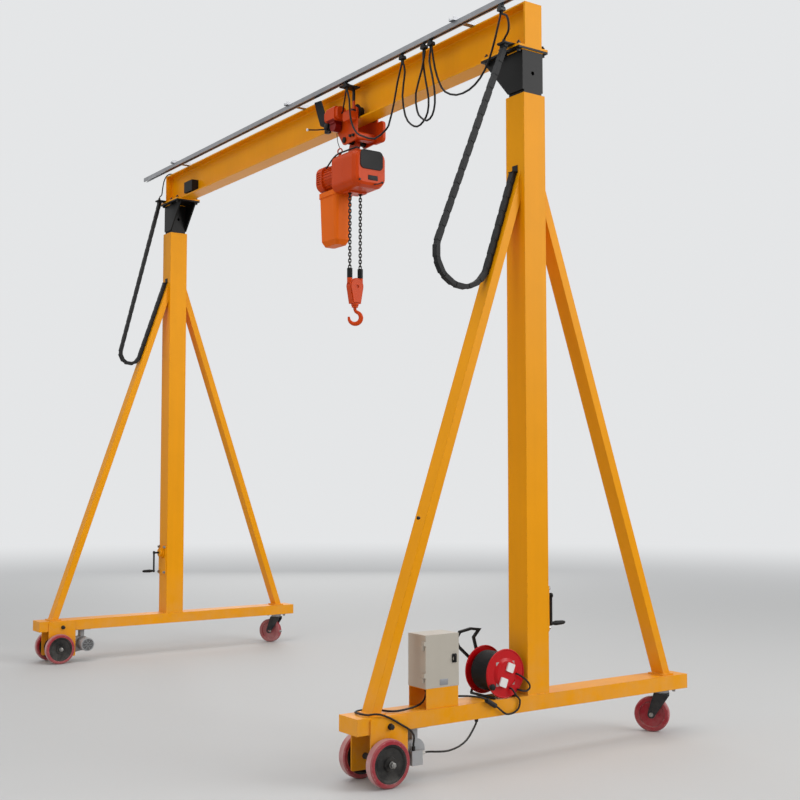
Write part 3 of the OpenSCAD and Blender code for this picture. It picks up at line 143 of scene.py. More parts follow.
def newGroup(name, inputs, outputs):
    tree = bpy.data.node_groups.new(name, "ShaderNodeTree")
    for socketName, kind, value in inputs:
        socket = tree.interface.new_socket(name=socketName, in_out="INPUT", socket_type="NodeSocket" + kind)
        socket.default_value = value
    for socketName, kind in outputs:
        tree.interface.new_socket(name=socketName, in_out="OUTPUT", socket_type="NodeSocket" + kind)
    return tree, tree.nodes.new("NodeGroupInput").outputs, tree.nodes.new("NodeGroupOutput").inputs


def noise(tree, place, scale, detail, rough=0.5):
    return addNode(tree, "TexNoise", {"Vector": place, "Scale": scale, "Detail": detail,
                                      "Roughness": rough}).outputs[0]


def ranged(tree, value, low, high, toLow=0.0, toHigh=1.0):
    return addNode(tree, "MapRange", {"Value": value, "From Min": low, "From Max": high,
                                      "To Min": toLow, "To Max": toHigh}).outputs[0]


agedLook = {  # noises: scale, detail, roughness; spans: from and to
    "edgeSpan": (0.985, 0.90), "chips": (38.0, 5.0, 0.65), "chipSpan": (0.52, 0.60),
    "scuffs": (21.0, 9.0, 0.75), "scuffSpan": (0.695, 0.72), "scuffShare": 0.5,
    "cloud": (2.6, 4.0), "runs": (1.0, 3.0), "runStretch": (24.0, 24.0, 1.3), "runShare": 0.5,
    "lowDust": 0.75, "flatSpan": (0.75, 1.0), "flatDust": 0.55,
    "grit": (9.0, 8.0, 0.7), "gritSpan": (0.35, 0.7), "fine": (420.0, 2.0), "fineShare": 0.25,
}


def makeAgedPaint():
    tree, given, result = newGroup("agedPaint", [
        ("Paint", "Color", (0.8, 0.5, 0.0, 1)), ("Under", "Color", (0.1, 0.09, 0.08, 1)),
        ("Dust", "Color", (0.45, 0.42, 0.38, 1)), ("Wear", "Float", 0.4), ("Edge", "Float", 0.004),
        ("Mottle", "Float", 0.06), ("Dust Top", "Float", 0.6), ("Dust Amount", "Float", 0.4)],
        [("Color", "Color"), ("Mask", "Float"), ("Height", "Float")])
    place = addNode(tree, "TexCoord").outputs["Object"]
    surface = addNode(tree, "NewGeometry").outputs
    # worn edges: where the rounded normal leaves the true one
    soft = addNode(tree, "Bevel", {"Radius": given["Edge"]}, samples=4).outputs[0]
    alike = addNode(tree, "VectorMath", {0: soft, 1: surface["Normal"]}, operation="DOT_PRODUCT").outputs["Value"]
    edge = ranged(tree, alike, *agedLook["edgeSpan"])
    chips = ranged(tree, noise(tree, place, *agedLook["chips"]), *agedLook["chipSpan"])
    worn = math2(tree, "MULTIPLY", math2(tree, "MULTIPLY", edge, chips), given["Wear"], True)
    # scattered small scuffs on the faces
    scuffs = ranged(tree, noise(tree, place, *agedLook["scuffs"]), *agedLook["scuffSpan"])
    scuffWear = math2(tree, "MULTIPLY", given["Wear"], agedLook["scuffShare"])
    worn = math2(tree, "MAXIMUM", worn, math2(tree, "MULTIPLY", scuffs, scuffWear))
    # cloudy tone and runs down the steel
    cloud = noise(tree, place, *agedLook["cloud"])
    tall = addNode(tree, "Mapping", {"Vector": place, "Scale": agedLook["runStretch"]}).outputs[0]
    runs = math2(tree, "MULTIPLY", noise(tree, tall, *agedLook["runs"]), agedLook["runShare"])
    tone = math2(tree, "SUBTRACT", math2(tree, "ADD", cloud, runs), 0.75)  # 0.75 is the mean of the sum
    tone = math2(tree, "ADD", math2(tree, "MULTIPLY", tone, given["Mottle"]), 1.0)
    toned = addNode(tree, "VectorMath", {0: given["Paint"], "Scale": tone}, operation="SCALE").outputs[0]
    color = mixColor(tree, worn, toned, given["Under"])
    # dust gathers low down and on what faces up
    height = addNode(tree, "SeparateXYZ", {0: place}).outputs[2]
    upward = addNode(tree, "SeparateXYZ", {0: surface["Normal"]}).outputs[2]
    low = ranged(tree, height, given["Dust Top"], 0.0, 0.0, agedLook["lowDust"])
    flat = ranged(tree, upward, *agedLook["flatSpan"], 0.0, agedLook["flatDust"])
    grit = ranged(tree, noise(tree, place, *agedLook["grit"]), *agedLook["gritSpan"])
    dust = math2(tree, "MULTIPLY", math2(tree, "MAXIMUM", low, flat), grit)
    dust = math2(tree, "MULTIPLY", dust, given["Dust Amount"], True)
    color = mixColor(tree, dust, color, given["Dust"])
    fine = math2(tree, "MULTIPLY", noise(tree, place, *agedLook["fine"]), agedLook["fineShare"])
    tree.links.new(color, result["Color"])
    tree.links.new(math2(tree, "MAXIMUM", dust, worn), result["Mask"])
    tree.links.new(math2(tree, "SUBTRACT", fine, worn), result["Height"])
    return tree


def makeBoxMask():
    tree, given, result = newGroup("boxMask", [
        ("Low", "Vector", (0, 0, 0)), ("High", "Vector", (1, 1, 1))], [("Mask", "Float")])
    place = addNode(tree, "TexCoord").outputs["Object"]
    parts = []
    for a, b in ((place, given["Low"]), (given["High"], place)):
        apart = addNode(tree, "VectorMath", {0: a, 1: b}, operation="SUBTRACT").outputs[0]
        xyz = addNode(tree, "SeparateXYZ", {0: apart}).outputs
        parts.append(math2(tree, "MINIMUM", math2(tree, "MINIMUM", xyz[0], xyz[1]), xyz[2]))
    inside = math2(tree, "GREATER_THAN", math2(tree, "MINIMUM", parts[0], parts[1]), 0.0)
    tree.links.new(inside, result["Mask"])
    return tree


agedPaint = makeAgedPaint()
boxMask = makeBoxMask()
print("shader groups built")

# finishes

finishes = {
    # edge and dustTop are metres, the rest shares
    "yellowPaint": dict(paint="#EC9B00", under="#6E5220", rough=0.4, spec=0.12, wear=0.45, edge=0.004,
                        mottle=0.16, dustTop=0.7, dust=0.3, bump=0.02),
    "blackPaint": dict(paint="#0E0D0C", under="#5A5650", rough=0.46, spec=0.2, wear=0.5, edge=0.003,
                       mottle=0.3, dustTop=0.3, dust=0.25, bump=0.05),
    "wheelSteel": dict(paint="#0E0E0F", under="#6A6660", rough=0.5, spec=0.2, wear=0.45, edge=0.002,
                       mottle=0.3, dustTop=0.35, dust=0.28, bump=0.08),
    "tyreRed": dict(paint="#9C1226", under="#C98E8C", rough=0.5, spec=0.3, wear=1.0, edge=0.008,
                    mottle=0.3, dustTop=0.32, dust=0.42, bump=0.03),
    "casterPaint": dict(paint="#10131A", under="#6A6A6C", rough=0.4, spec=0.3, wear=0.5, edge=0.002,
                        mottle=0.2, dustTop=0.4, dust=0.3, bump=0.03),
    "motorSilver": dict(paint="#A2A4A6", under="#55524E", rough=0.45, wear=0.4, edge=0.002,
                        mottle=0.2, dustTop=0.35, dust=0.45, bump=0.05),
    "zinc": dict(paint="#96979A", under="#5E5C58", rough=0.42, metal=0.75, wear=0.3, edge=0.001,
                 mottle=0.5, dustTop=0.3, dust=0.4, bump=0.04),
    "blackPlastic": dict(paint="#0E0E0F", under="#3A3A3A", rough=0.55, spec=0.25, wear=0.2, edge=0.002,
                         mottle=0.2, dustTop=0.3, dust=0.2, bump=0.06),
    "cableRubber": dict(paint="#0B0B0C", under="#2E2E2E", rough=0.5, spec=0.25, wear=0.1, edge=0.001,
                        mottle=0.3, dustTop=0.5, dust=0.25, bump=0.05),
    "boxBeige": dict(paint="#B8B1A4", under="#6C675E", rough=0.5, spec=0.3, wear=0.3, edge=0.002,
                     mottle=0.12, dustTop=0.5, dust=0.2, bump=0.12),
    "reelRed": dict(paint="#C0040F", under="#3A1012", rough=0.26, spec=0.22, coat=0.04, wear=0.3, edge=0.002,
                    mottle=0.15, dustTop=0.45, dust=0.1, bump=0.01),
    "hoistOrange": dict(paint="#C8420A", under="#3C2018", rough=0.36, spec=0.14, coat=0.02, wear=0.5, edge=0.003,
                        mottle=0.22, dustTop=0.3, dust=0.3, bump=0.05),
    "bucketOrange": dict(paint="#E46608", under="#8A3C10", rough=0.5, spec=0.14, wear=0.2, edge=0.003,
                         mottle=0.2, dustTop=0.3, dust=0.3, bump=0.15),
    "chainSteel": dict(paint="#2E2B29", under="#7C766E", rough=0.42, metal=0.8, wear=0.9, edge=0.002,
                       mottle=0.4, dustTop=0.3, dust=0.2, bump=0.05),
    "boltSteel": dict(paint="#8E8D8A", under="#4A4038", rough=0.35, metal=0.9, wear=0.4, edge=0.001,
                      mottle=0.3, dustTop=0.3, dust=0.3, bump=0.03),
    "boltBlack": dict(paint="#242322", under="#6A6560", rough=0.45, metal=0.6, wear=0.5, edge=0.001,
                      mottle=0.3, dustTop=0.3, dust=0.25, bump=0.03),
    "whitePlastic": dict(paint="#E8E6E2", under="#9A968E", rough=0.35, spec=0.3, wear=0.1, edge=0.001,
                         mottle=0.05, dustTop=0.3, dust=0.1, bump=0.02),
}


def makeFinish(name, look):
    material = bpy.data.materials.new(name)
    material.use_nodes = True
    tree = material.node_tree
    shader = tree.nodes["Principled BSDF"]
    aged = tree.nodes.new("ShaderNodeGroup")
    aged.node_tree = agedPaint
    aged.inputs["Paint"].default_value = (*shade(look["paint"]), 1)
    aged.inputs["Under"].default_value = (*shade(look["under"]), 1)
    for socketName, key in (("Wear", "wear"), ("Edge", "edge"), ("Mottle", "mottle"), ("Dust Top", "dustTop"),
                            ("Dust Amount", "dust")):
        aged.inputs[socketName].default_value = look[key]
    tree.links.new(aged.outputs["Color"], shader.inputs["Base Color"])
    rough = addNode(tree, "MapRange", {"Value": aged.outputs["Mask"], "To Min": look["rough"], "To Max": 0.85})
    tree.links.new(rough.outputs[0], shader.inputs["Roughness"])
    shader.inputs["Metallic"].default_value = look.get("metal", 0.0)
    shader.inputs["Specular IOR Level"].default_value = look.get("spec", 0.5)
    shader.inputs["Coat Weight"].default_value = look.get("coat", 0.0)
    shader.inputs["Coat Roughness"].default_value = 0.25
    rounded = addNode(tree, "Bevel", {"Radius": look["edge"] * 0.6}, samples=4)
    bump = addNode(tree, "Bump", {"Strength": look["bump"], "Distance": 0.004,
                                  "Height": aged.outputs["Height"], "Normal": rounded.outputs[0]})
    tree.links.new(bump.outputs[0], shader.inputs["Normal"])
    return material


materials = {name: makeFinish(name, look) for name, look in finishes.items()}


def addZone(material, low, high, color, rough=0.5, metal=0.0):  # another finish inside a box
    tree = material.node_tree
    shader = tree.nodes["Principled BSDF"]
    zone = tree.nodes.new("ShaderNodeGroup")
    zone.node_tree = boxMask
    zone.inputs["Low"].default_value = low
    zone.inputs["High"].default_value = high
    base = shader.inputs["Base Color"].links[0].from_socket
    tree.links.new(mixColor(tree, zone.outputs[0], base, (*shade(color), 1)), shader.inputs["Base Color"])
    for key, value in (("Roughness", rough), ("Metallic", metal)):
        socket = shader.inputs[key]
        before = socket.links[0].from_socket if socket.is_linked else socket.default_value
        mixed = addNode(tree, "Mix", {0: zone.outputs[0], 2: before, 3: value}).outputs[0]
        tree.links.new(mixed, socket)


nodeFinish = {
    "yellowPaint": ["sills", "columns", "braces", "drive_brackets", "lift_gearboxes", "control_box_stand",
                    "beam", "head_plates"],
    "blackPaint": ["heads", "near_crank", "far_crank", "reel_stand", "hoist_hanger"],
    "wheelSteel": ["near_drive_wheels", "far_drive_wheels", "trolley_wheels"],
    "tyreRed": ["near_drive_tyres", "far_drive_tyres", "near_caster_wheel", "far_caster_wheel"],
    "casterPaint": ["near_caster_fork", "far_caster_fork"],
    "motorSilver": ["travel_gearmotors"],
    "zinc": ["caster_plates", "cable_rail"],
    "blackPlastic": ["drag_chains", "junction_box", "cable_trolley_a", "cable_trolley_b", "cable_trolley_c"],
    "cableRubber": ["reel_cable", "frame_cables", "beam_cables", "hoist_cables"],
    "boxBeige": ["control_box", "control_box_door"],
    "reelRed": ["reel_drum"],
    "hoistOrange": ["trolley_plates", "trolley_drive", "hoist_body", "hoist_covers", "hook_block", "hook"],
    "bucketOrange": ["chain_bucket"],
    "chainSteel": ["load_chain"],
}


def paintNode(name, material):
    for slot in cadNodes[name].material_slots:
        slot.material = material


def ownFinish(name, finish):  # a copy of a finish for one CAD node
    material = materials[finish].copy()
    material.name = finish + "_" + name
    paintNode(name, material)
    return material


for finish, names in nodeFinish.items():
    for name in names:
        paintNode(name, materials[finish])

nodeZones = {  # each zone: low corner, high corner, color, roughness, metal
    "travel_gearmotors": {"finish": "motorSilver", "ends": (-1, 1), "zones": [
        ((2.317, -1.06, 0.0), (2.338, -0.8135, 0.2), "#2A2624", 0.45, 0.6),
        ((2.315, -0.815, 0.1385), (2.345, -0.77, 0.165), "#121213", 0.45, 0.0),
        ((2.315, -0.7505, 0.10), (2.345, -0.71, 0.14), "#C4C2BC", 0.45, 0.0)]},
    "reel_drum": {"finish": "reelRed", "ends": (1,), "zones": [
        ((2.17, -0.280, 0.396), (2.3435, -0.158, 0.518), "#A8A8A6", 0.35, 0.7),
        ((2.3506, -0.40, 0.30), (2.37, -0.05, 0.60), "#E6E4E0", 0.35, 0.0)]},
    "trolley_drive": {"finish": "hoistOrange", "ends": (1,), "zones": [
        ((0.20, -0.14, 3.79), (0.4245, -0.08, 4.03), "#151516", 0.5, 0.0),
        ((0.46, -0.17, 3.74), (0.55, -0.08, 3.8265), "#7E160E", 0.4, 0.0),
        ((0.66, -0.20, 3.92), (0.78, -0.08, 4.05), "#151516", 0.5, 0.0)]},
    "hook_block": {"finish": "hoistOrange", "ends": (1,), "zones": [
        ((0.4, -0.2, 2.775), (0.8, 0.2, 2.9), "#161617", 0.5, 0.0)]},
    "cable_rail": {"finish": "zinc", "ends": (1,), "zones": [
        ((2.27, -0.22, 3.95), (2.33, -0.15, 4.0155), "#151516", 0.5, 0.0)]},
}
for name, zoned in nodeZones.items():
    material = ownFinish(name, zoned["finish"])
    for end in zoned["ends"]:  # -1 is the same zone on the far frame
        for low, high, *look in zoned["zones"]:
            left, right = sorted((end * low[0], end * high[0]))
            addZone(material, (left, *low[1:]), (right, *high[1:]), *look)


def addTread(material, axle, color, amount):  # paler than the sides, which face along the axle
    tree = material.node_tree
    shader = tree.nodes["Principled BSDF"]
    place = addNode(tree, "TexCoord").outputs
    along = addNode(tree, "VectorMath", {0: place["Normal"], 1: axle}, operation="DOT_PRODUCT").outputs["Value"]
    tread = ranged(tree, math2(tree, "ABSOLUTE", along), 0.75, 0.3, 0.0, amount)
    patches = ranged(tree, noise(tree, place["Object"], 14.0, 6.0), 0.3, 0.6, 0.5)
    base = shader.inputs["Base Color"].links[0].from_socket
    mask = math2(tree, "MULTIPLY", tread, patches)
    tree.links.new(mixColor(tree, mask, base, (*shade(color), 1)), shader.inputs["Base Color"])


treads = {  # axle, color of the tread, amount
    "near_drive_tyres": ((1, 0, 0), "#C2A09C", 0.8),
    "near_caster_wheel": ((0.574, -0.819, 0), "#B48C8A", 0.5),
    "far_drive_tyres": ((1, 0, 0), "#C2A09C", 0.8),
    "far_caster_wheel": ((-0.574, -0.819, 0), "#B48C8A", 0.5),
}
for name, tread in treads.items():
    addTread(ownFinish(name, "tyreRed"), *tread)
print("finishes placed")

# floor: far away it runs into the backdrop, for the camera only

bpy.ops.mesh.primitive_plane_add(size=studio["floorSize"], location=(0, 0, 0))
floor = bpy.context.object
floor.name = "studioFloor"
floorMaterial = bpy.data.materials.new("studioFloor")
floorMaterial.use_nodes = True
floorShader = floorMaterial.node_tree.nodes["Principled BSDF"]
floorShader.inputs["Base Color"].default_value = (*studio["floorColor"], 1)
floorShader.inputs["Roughness"].default_value = studio["floorRough"]
floorTree = floorMaterial.node_tree
floorPlace = addNode(floorTree, "TexCoord").outputs["Object"]
spread = addNode(floorTree, "VectorMath", {0: floorPlace}, operation="LENGTH")
faded = addNode(floorTree, "MapRange", {"Value": spread.outputs["Value"], "From Min": studio["fade"][0],
                                        "From Max": studio["fade"][1]}, interpolation_type="SMOOTHSTEP").outputs[0]
faded = math2(floorTree, "MULTIPLY", faded, addNode(floorTree, "LightPath").outputs["Is Camera Ray"])
glow = addNode(floorTree, "Emission", {"Color": (*studio["backdrop"], 1)})
blend = addNode(floorTree, "MixShader", {0: faded, 1: floorShader.outputs[0], 2: glow.outputs[0]})
floorTree.links.new(blend.outputs[0], floorTree.nodes["Material Output"].inputs["Surface"])
floor.data.materials.append(floorMaterial)
print("floor laid")

# tools for the small pieces


def clearSelection():
    if bpy.context.object and bpy.context.object.mode != "OBJECT":
        bpy.ops.object.mode_set(mode="OBJECT")
    bpy.ops.object.select_all(action="DESELECT")


def activate(piece):  # the only one that is selected
    clearSelection()
    piece.select_set(True)
    bpy.context.view_layer.objects.active = piece


def pickOnly(kind, test):  # in edit mode: only the faces or edges that pass the test
    bpy.ops.mesh.select_mode(type=kind)
    bpy.ops.mesh.select_all(action="DESELECT")
    mesh = bpy.context.object.data
    cage = bmesh.from_edit_mesh(mesh)
    for element in cage.faces if kind == "FACE" else cage.edges:
        if test(element):
            element.select_set(True)
    bmesh.update_edit_mesh(mesh)


def settle():  # place, turn and size go into the mesh
    bpy.ops.object.transform_apply(location=True, rotation=True, scale=True)
    return bpy.context.object


def roundEdges(width, segments=2, angle=35):
    piece = bpy.context.object
    bevel = piece.modifiers.new("edges", "BEVEL")
    bevel.width = width
    bevel.segments = segments
    bevel.limit_method = "ANGLE"
    bevel.angle_limit = math.radians(angle)
    bpy.ops.object.modifier_apply(modifier="edges")
    return piece


def block(size, place=(0, 0, 0), edge=0.002, segments=2):  # a box with rounded edges
    clearSelection()
    bpy.ops.mesh.primitive_cube_add(size=1, location=place)
    bpy.context.object.scale = size
    settle()
    return roundEdges(edge, segments)


def panel(size, place, corner, edge=0.0008):  # thin along X, with round corners in Y and Z
    clearSelection()
    bpy.ops.mesh.primitive_cube_add(size=1)
    bpy.context.object.scale = size
    settle()
    bpy.ops.object.mode_set(mode="EDIT")
    pickOnly("EDGE", lambda side: abs((side.verts[0].co - side.verts[1].co).normalized().x) > 0.9)
    bpy.ops.mesh.bevel(offset=corner, segments=5)
    bpy.ops.object.mode_set(mode="OBJECT")
    piece = roundEdges(edge, 2, 60)
    return moved(piece, Matrix.Translation(place))


def turned(profile, sides=32):  # a shape spun about Z from (radius, height) points
    clearSelection()
    bpy.ops.mesh.primitive_plane_add(size=0.001)
    piece = bpy.context.object
    bpy.ops.object.mode_set(mode="EDIT")
    bpy.ops.mesh.delete(type="VERT")
    cage = bmesh.from_edit_mesh(piece.data)
    points = [cage.verts.new((radius, 0, height)) for radius, height in profile]
    for a, b in zip(points, points[1:]):
        cage.edges.new((a, b))
    bmesh.update_edit_mesh(piece.data)
    bpy.ops.mesh.select_all(action="SELECT")
    bpy.ops.mesh.spin(steps=sides, angle=2 * math.pi, center=(0, 0, 0), axis=(0, 0, 1))
    bpy.ops.mesh.select_all(action="SELECT")
    bpy.ops.mesh.remove_doubles(threshold=0.00002)
    bpy.ops.mesh.normals_make_consistent(inside=False)
    bpy.ops.object.mode_set(mode="OBJECT")
    return piece


def bentRod(points, radius, smooth=True, sides=3):  # a round bar through points
    curve = bpy.data.curves.new("rod", "CURVE")
    curve.dimensions = "3D"
    curve.bevel_depth = radius
    curve.bevel_resolution = sides
    curve.use_fill_caps = True
    spline = curve.splines.new("BEZIER" if smooth else "POLY")
    knots = spline.bezier_points if smooth else spline.points
    knots.add(len(points) - 1)
    for knot, point in zip(knots, points):
        knot.co = point if smooth else (*point, 1)
        if smooth:
            knot.handle_left_type = knot.handle_right_type = "AUTO"
    curve.resolution_u = 6
    piece = bpy.data.objects.new("rod", curve)
    scene.collection.objects.link(piece)
    activate(piece)
    bpy.ops.object.convert(target="MESH")
    return bpy.context.object


def moved(piece, matrix):
    piece.data.transform(matrix)
    return piece


def another(piece, matrix):  # a copy with its own mesh
    twin = bpy.data.objects.new(piece.name, piece.data.copy())
    scene.collection.objects.link(twin)
    twin.data.transform(matrix)
    if matrix.determinant() < 0:
        twin.data.flip_normals()
    return twin


def facing(axis, place=(0, 0, 0), spin=0):  # from +Z at the origin to an axis at a place
    turn = Vector(axis).to_track_quat("Z", "Y").to_matrix().to_4x4()
    return Matrix.Translation(place) @ turn @ Matrix.Rotation(math.radians(spin), 4, "Z")


def joined(pieces):
    clearSelection()
    for piece in pieces:
        piece.select_set(True)
    bpy.context.view_layer.objects.active = pieces[0]
    if len(pieces) > 1:
        bpy.ops.object.join()
    return bpy.context.object


def sunkFace(piece, side, rim, depth):  # the large face that looks along side * X is set back inside a rim
    activate(piece)
    bpy.ops.object.mode_set(mode="EDIT")
    pickOnly("FACE", lambda face: face.normal.x * side > 0.95 and face.calc_area() > 0.004)
    bpy.ops.mesh.inset(thickness=rim)
    bpy.ops.transform.translate(value=(-side * depth, 0, 0))
    bpy.ops.object.mode_set(mode="OBJECT")
    return piece


def finished(piece, name, body, finish, angle=32):
    activate(piece)
    piece.name = name
    piece.data.name = name
    piece.data.materials.clear()
    piece.data.materials.append(materials[finish])
    bpy.ops.object.shade_smooth_by_angle(angle=math.radians(angle))
    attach(piece, body)
    return piece


# bolts

boltShape = {"head": 0.62, "washer": 0.14, "washerReach": 0.59, "inset": 0.07, "crown": 0.03, "tailReach": 0.3,
             "washerProfile": ((0, 0), (1.12, 0), (1.12, 0.8), (1.06, 1), (0, 1))}
# shares of the flats; the profile is in shares of the washer's reach and thickness


def makeBolt(flats, tail=0.0):  # hex head or nut on a washer, standing on Z = 0
    washer = flats * boltShape["washer"]
    head = flats * boltShape["head"]
    reach = flats * boltShape["washerReach"]
    disc = turned([(reach * out, washer * up) for out, up in boltShape["washerProfile"]], 20)
    clearSelection()
    bpy.ops.mesh.primitive_cylinder_add(vertices=6, radius=flats / 2 / math.cos(math.radians(30)),
                                        depth=head, location=(0, 0, washer + head / 2))
    settle()
    bpy.ops.object.mode_set(mode="EDIT")
    pickOnly("FACE", lambda face: face.normal.z > 0.9)
    bpy.ops.mesh.inset(thickness=flats * boltShape["inset"])
    bpy.ops.transform.translate(value=(0, 0, flats * boltShape["crown"]))
    bpy.ops.object.mode_set(mode="OBJECT")
    parts = [bpy.context.object, disc]
    if tail:  # the end of the screw stands out of a nut
        reach, top = flats * boltShape["tailReach"], washer + head * 1.05 + tail
        parts.append(turned([(0, washer), (reach, washer), (reach, top - 0.001), (reach - 0.001, top),
                             (0, top)], 16))
    return joined(parts)


def boltSet(name, body, flats, places, tail=0.0, finish="boltSteel"):  # places: (place, axis)
    pattern = makeBolt(flats, tail)
    copies = [another(pattern, facing(axis, place, 17 * index)) for index, (place, axis) in enumerate(places)]
    bpy.data.objects.remove(pattern)
    return finished(joined(copies), name, body, finish)


def bothEnds(places):  # the same on the far frame, mirrored
    return places + [((-place[0], place[1], place[2]), (-axis[0], axis[1], axis[2])) for place, axis in places]


frameSizes = {"columnX": 2.275, "columnHalf": 0.075, "sillTop": 0.330, "sillHalf": 0.080, "sillLow": 0.250,
              "headFlange": 3.782, "beamLow": 3.806, "beamTop": 4.046}
columnX = frameSizes["columnX"]
boltRows = {
    "head": {"flats": 0.019, "along": (0.048, -0.105, -0.225), "across": 0.087, "tail": 0.008},
    "gearPlate": {"flats": 0.019, "along": (-0.055, 0.055), "out": 0.085, "heights": (0.668, 0.877)},
    "bracket": {"flats": 0.024, "out": 0.088, "place": (-0.955, 0.278)},
    "caster": {"flats": 0.016, "middle": (1.010, 0.244), "along": (-0.043, 0.043), "across": (-0.056, 0.056)},
    "arm": {"flats": 0.016, "along": (-1.89, 0, 1.89), "across": (-0.035, 0.035), "lift": 0.0025},
    "axle": {"flats": 0.024, "out": 0.152, "place": (-0.990, 0.115), "tail": 0.004},
    "casterAxle": {"flats": 0.019, "out": 0.037, "tail": 0.004, "turn": 215, "trail": 0.055, "height": 0.100},
    "bracePlug": {"flats": 0.014, "place": (2.320, -0.760, 1.267)},
}
row = boltRows["head"]
headPlaces = [(columnX + along, side * row["across"]) for along in row["along"] for side in (-1, 1)]
boltSet("headBolts", "lift_beam", row["flats"],
        bothEnds([((*place, frameSizes["beamLow"]), (0, 0, 1)) for place in headPlaces]), row["tail"],
        "boltBlack")
boltSet("headNuts", "lift_beam", row["flats"],
        bothEnds([((*place, frameSizes["headFlange"]), (0, 0, -1)) for place in headPlaces]), 0, "boltBlack")
row = boltRows["gearPlate"]
boltSet("gearPlateBolts", "portal", row["flats"],
        [((end * columnX + along, end * row["out"], z), (0, end, 0))
         for end in (1, -1) for along in row["along"] for z in row["heights"]])
row = boltRows["bracket"]
boltSet("bracketBolts", "portal", row["flats"],
        bothEnds([((columnX + side * row["out"], *row["place"]), (side, 0, 0)) for side in (-1, 1)]), 0,
        "boltBlack")
row = boltRows["caster"]
boltSet("casterBolts", "portal", row["flats"],
        bothEnds([((columnX + along, row["middle"][0] + across, row["middle"][1]), (0, 0, -1))
                  for along in row["along"] for across in row["across"]]))
row = boltRows["arm"]
boltSet("armBolts", "lift_beam", row["flats"],
        [((x, y, frameSizes["beamTop"] + row["lift"]), (0, 0, 1)) for x in row["along"] for y in row["across"]])
row = boltRows["axle"]
for axle, x in (("near_axle", columnX), ("far_axle", -columnX)):
    boltSet(axle + "Nuts", axle, row["flats"],
            [((x + side * row["out"], *row["place"]), (side, 0, 0)) for side in (-1, 1)], row["tail"])
row = boltRows["casterAxle"]
for name, end, turn in (("near_caster", 1, row["turn"]), ("far_caster", -1, 180 - row["turn"])):
    along = Vector((math.cos(math.radians(turn)), math.sin(math.radians(turn)), 0))
    across = Vector((-along.y, along.x, 0))
    middle = Vector((end * columnX, boltRows["caster"]["middle"][0], row["height"])) + along * row["trail"]
    boltSet(name + "Nuts", name, row["flats"],
            [(middle + side * row["out"] * across, side * across) for side in (-1, 1)], row["tail"])
row = boltRows["bracePlug"]
boltSet("bracePlug", "portal", row["flats"], [(row["place"], (1, 0, 0))], 0, "boltBlack")
print("bolts placed")

# weld beads

weldShape = {"width": 0.008, "pitch": 0.0055, "ripple": (1.7, 1.25, 0.8)}  # ripple: long, broad and high


def weldRun(start, end, out):  # a row of ripples from start to end, lying in the corner that faces out
    start, end, out = Vector(start), Vector(end), Vector(out).normalized()
    pitch, width = weldShape["pitch"], weldShape["width"]
    long, broad, high = weldShape["ripple"]
    span = end - start
    count = max(2, round(span.length / pitch))
    clearSelection()
    bpy.ops.mesh.primitive_uv_sphere_add(segments=8, ring_count=5, radius=0.5)
    ripple = bpy.context.object
    ripple.scale = (pitch * long, width * broad, width * high)
    settle()
    row = ripple.modifiers.new("row", "ARRAY")
    row.count = count
    row.use_relative_offset = False
    row.use_constant_offset = True
    row.constant_offset_displace = (span.length / count, 0, 0)
    bpy.ops.object.modifier_apply(modifier="row")
    along = span.normalized()
    basis = Matrix((along, out.cross(along), out)).transposed().to_4x4()
    return moved(ripple, Matrix.Translation(start + along * pitch / 2) @ basis)


def weldLoop(center, halfX, halfY, z, lift=1):  # round a rectangle, on a face that looks up or down
    x, y = center
    corners = [(-halfX, -halfY), (halfX, -halfY), (halfX, halfY), (-halfX, halfY)]
    runs = []
    for index, out in enumerate([(0, -1), (1, 0), (0, 1), (-1, 0)]):
        a, b = corners[index], corners[(index + 1) % 4]
        runs.append(weldRun((x + a[0], y + a[1], z), (x + b[0], y + b[1], z), (*out, lift)))
    return runs


braceLine = {"reach": 1.035, "top": 3.110, "foot": 0.338, "thick": 0.050, "halfWide": 0.045}
columnHalf = frameSizes["columnHalf"]
braceSlope = (braceLine["reach"] - columnHalf) / (braceLine["top"] - frameSizes["sillTop"])


def braceY(z, depth=0.0):
    return columnHalf + (braceLine["top"] - z) * braceSlope - depth * math.hypot(1, braceSlope)


weldPlaces = {
    "footHalf": 0.026, "braceTop": 3.108, "headTube": (0.0625, 0.0725), "endPlate": 0.058,
    "plateRuns": ((0.0035, 3.828, 4.024), (0.060, 3.8065, 3.816)),  # y, low and high
    "bracketRun": (-1.0545, -0.8655, 0.3235),  # from y to y, height
}
foot, thick, halfWide = braceLine["foot"], braceLine["thick"], braceLine["halfWide"]
footMiddle = (braceY(foot) + braceY(foot, thick)) / 2
braceLow = braceLine["top"] - thick / math.sin(math.atan(braceSlope))
bracketStart, bracketEnd, bracketTop = weldPlaces["bracketRun"]
portalWelds, beamWelds = [], []
for end in (-1, 1):
    x = end * columnX
    plateX = end * (columnX + weldPlaces["endPlate"])
    portalWelds += weldLoop((x, 0), columnHalf, columnHalf, frameSizes["sillTop"])
    for side in (-1, 1):
        portalWelds += weldLoop((x, side * footMiddle), halfWide, weldPlaces["footHalf"], foot)
        for edge in (-1, 1):
            corner = (x + edge * halfWide, side * columnHalf)
            portalWelds.append(weldRun((*corner, braceLow), (*corner, weldPlaces["braceTop"]), (edge, side, 0)))
    beamWelds += weldLoop((x, 0), *weldPlaces["headTube"], frameSizes["headFlange"], -1)
    for side in (-1, 1):
        for y, low, high in weldPlaces["plateRuns"]:
            beamWelds.append(weldRun((plateX, side * y, low), (plateX, side * y, high), (-end, side, 0)))
        face = x + side * frameSizes["sillHalf"]
        portalWelds.append(weldRun((face, bracketStart, bracketTop), (face, bracketEnd, bracketTop), (side, 0, 1)))
finished(joined(portalWelds), "portalWelds", "portal", "yellowPaint", 60)
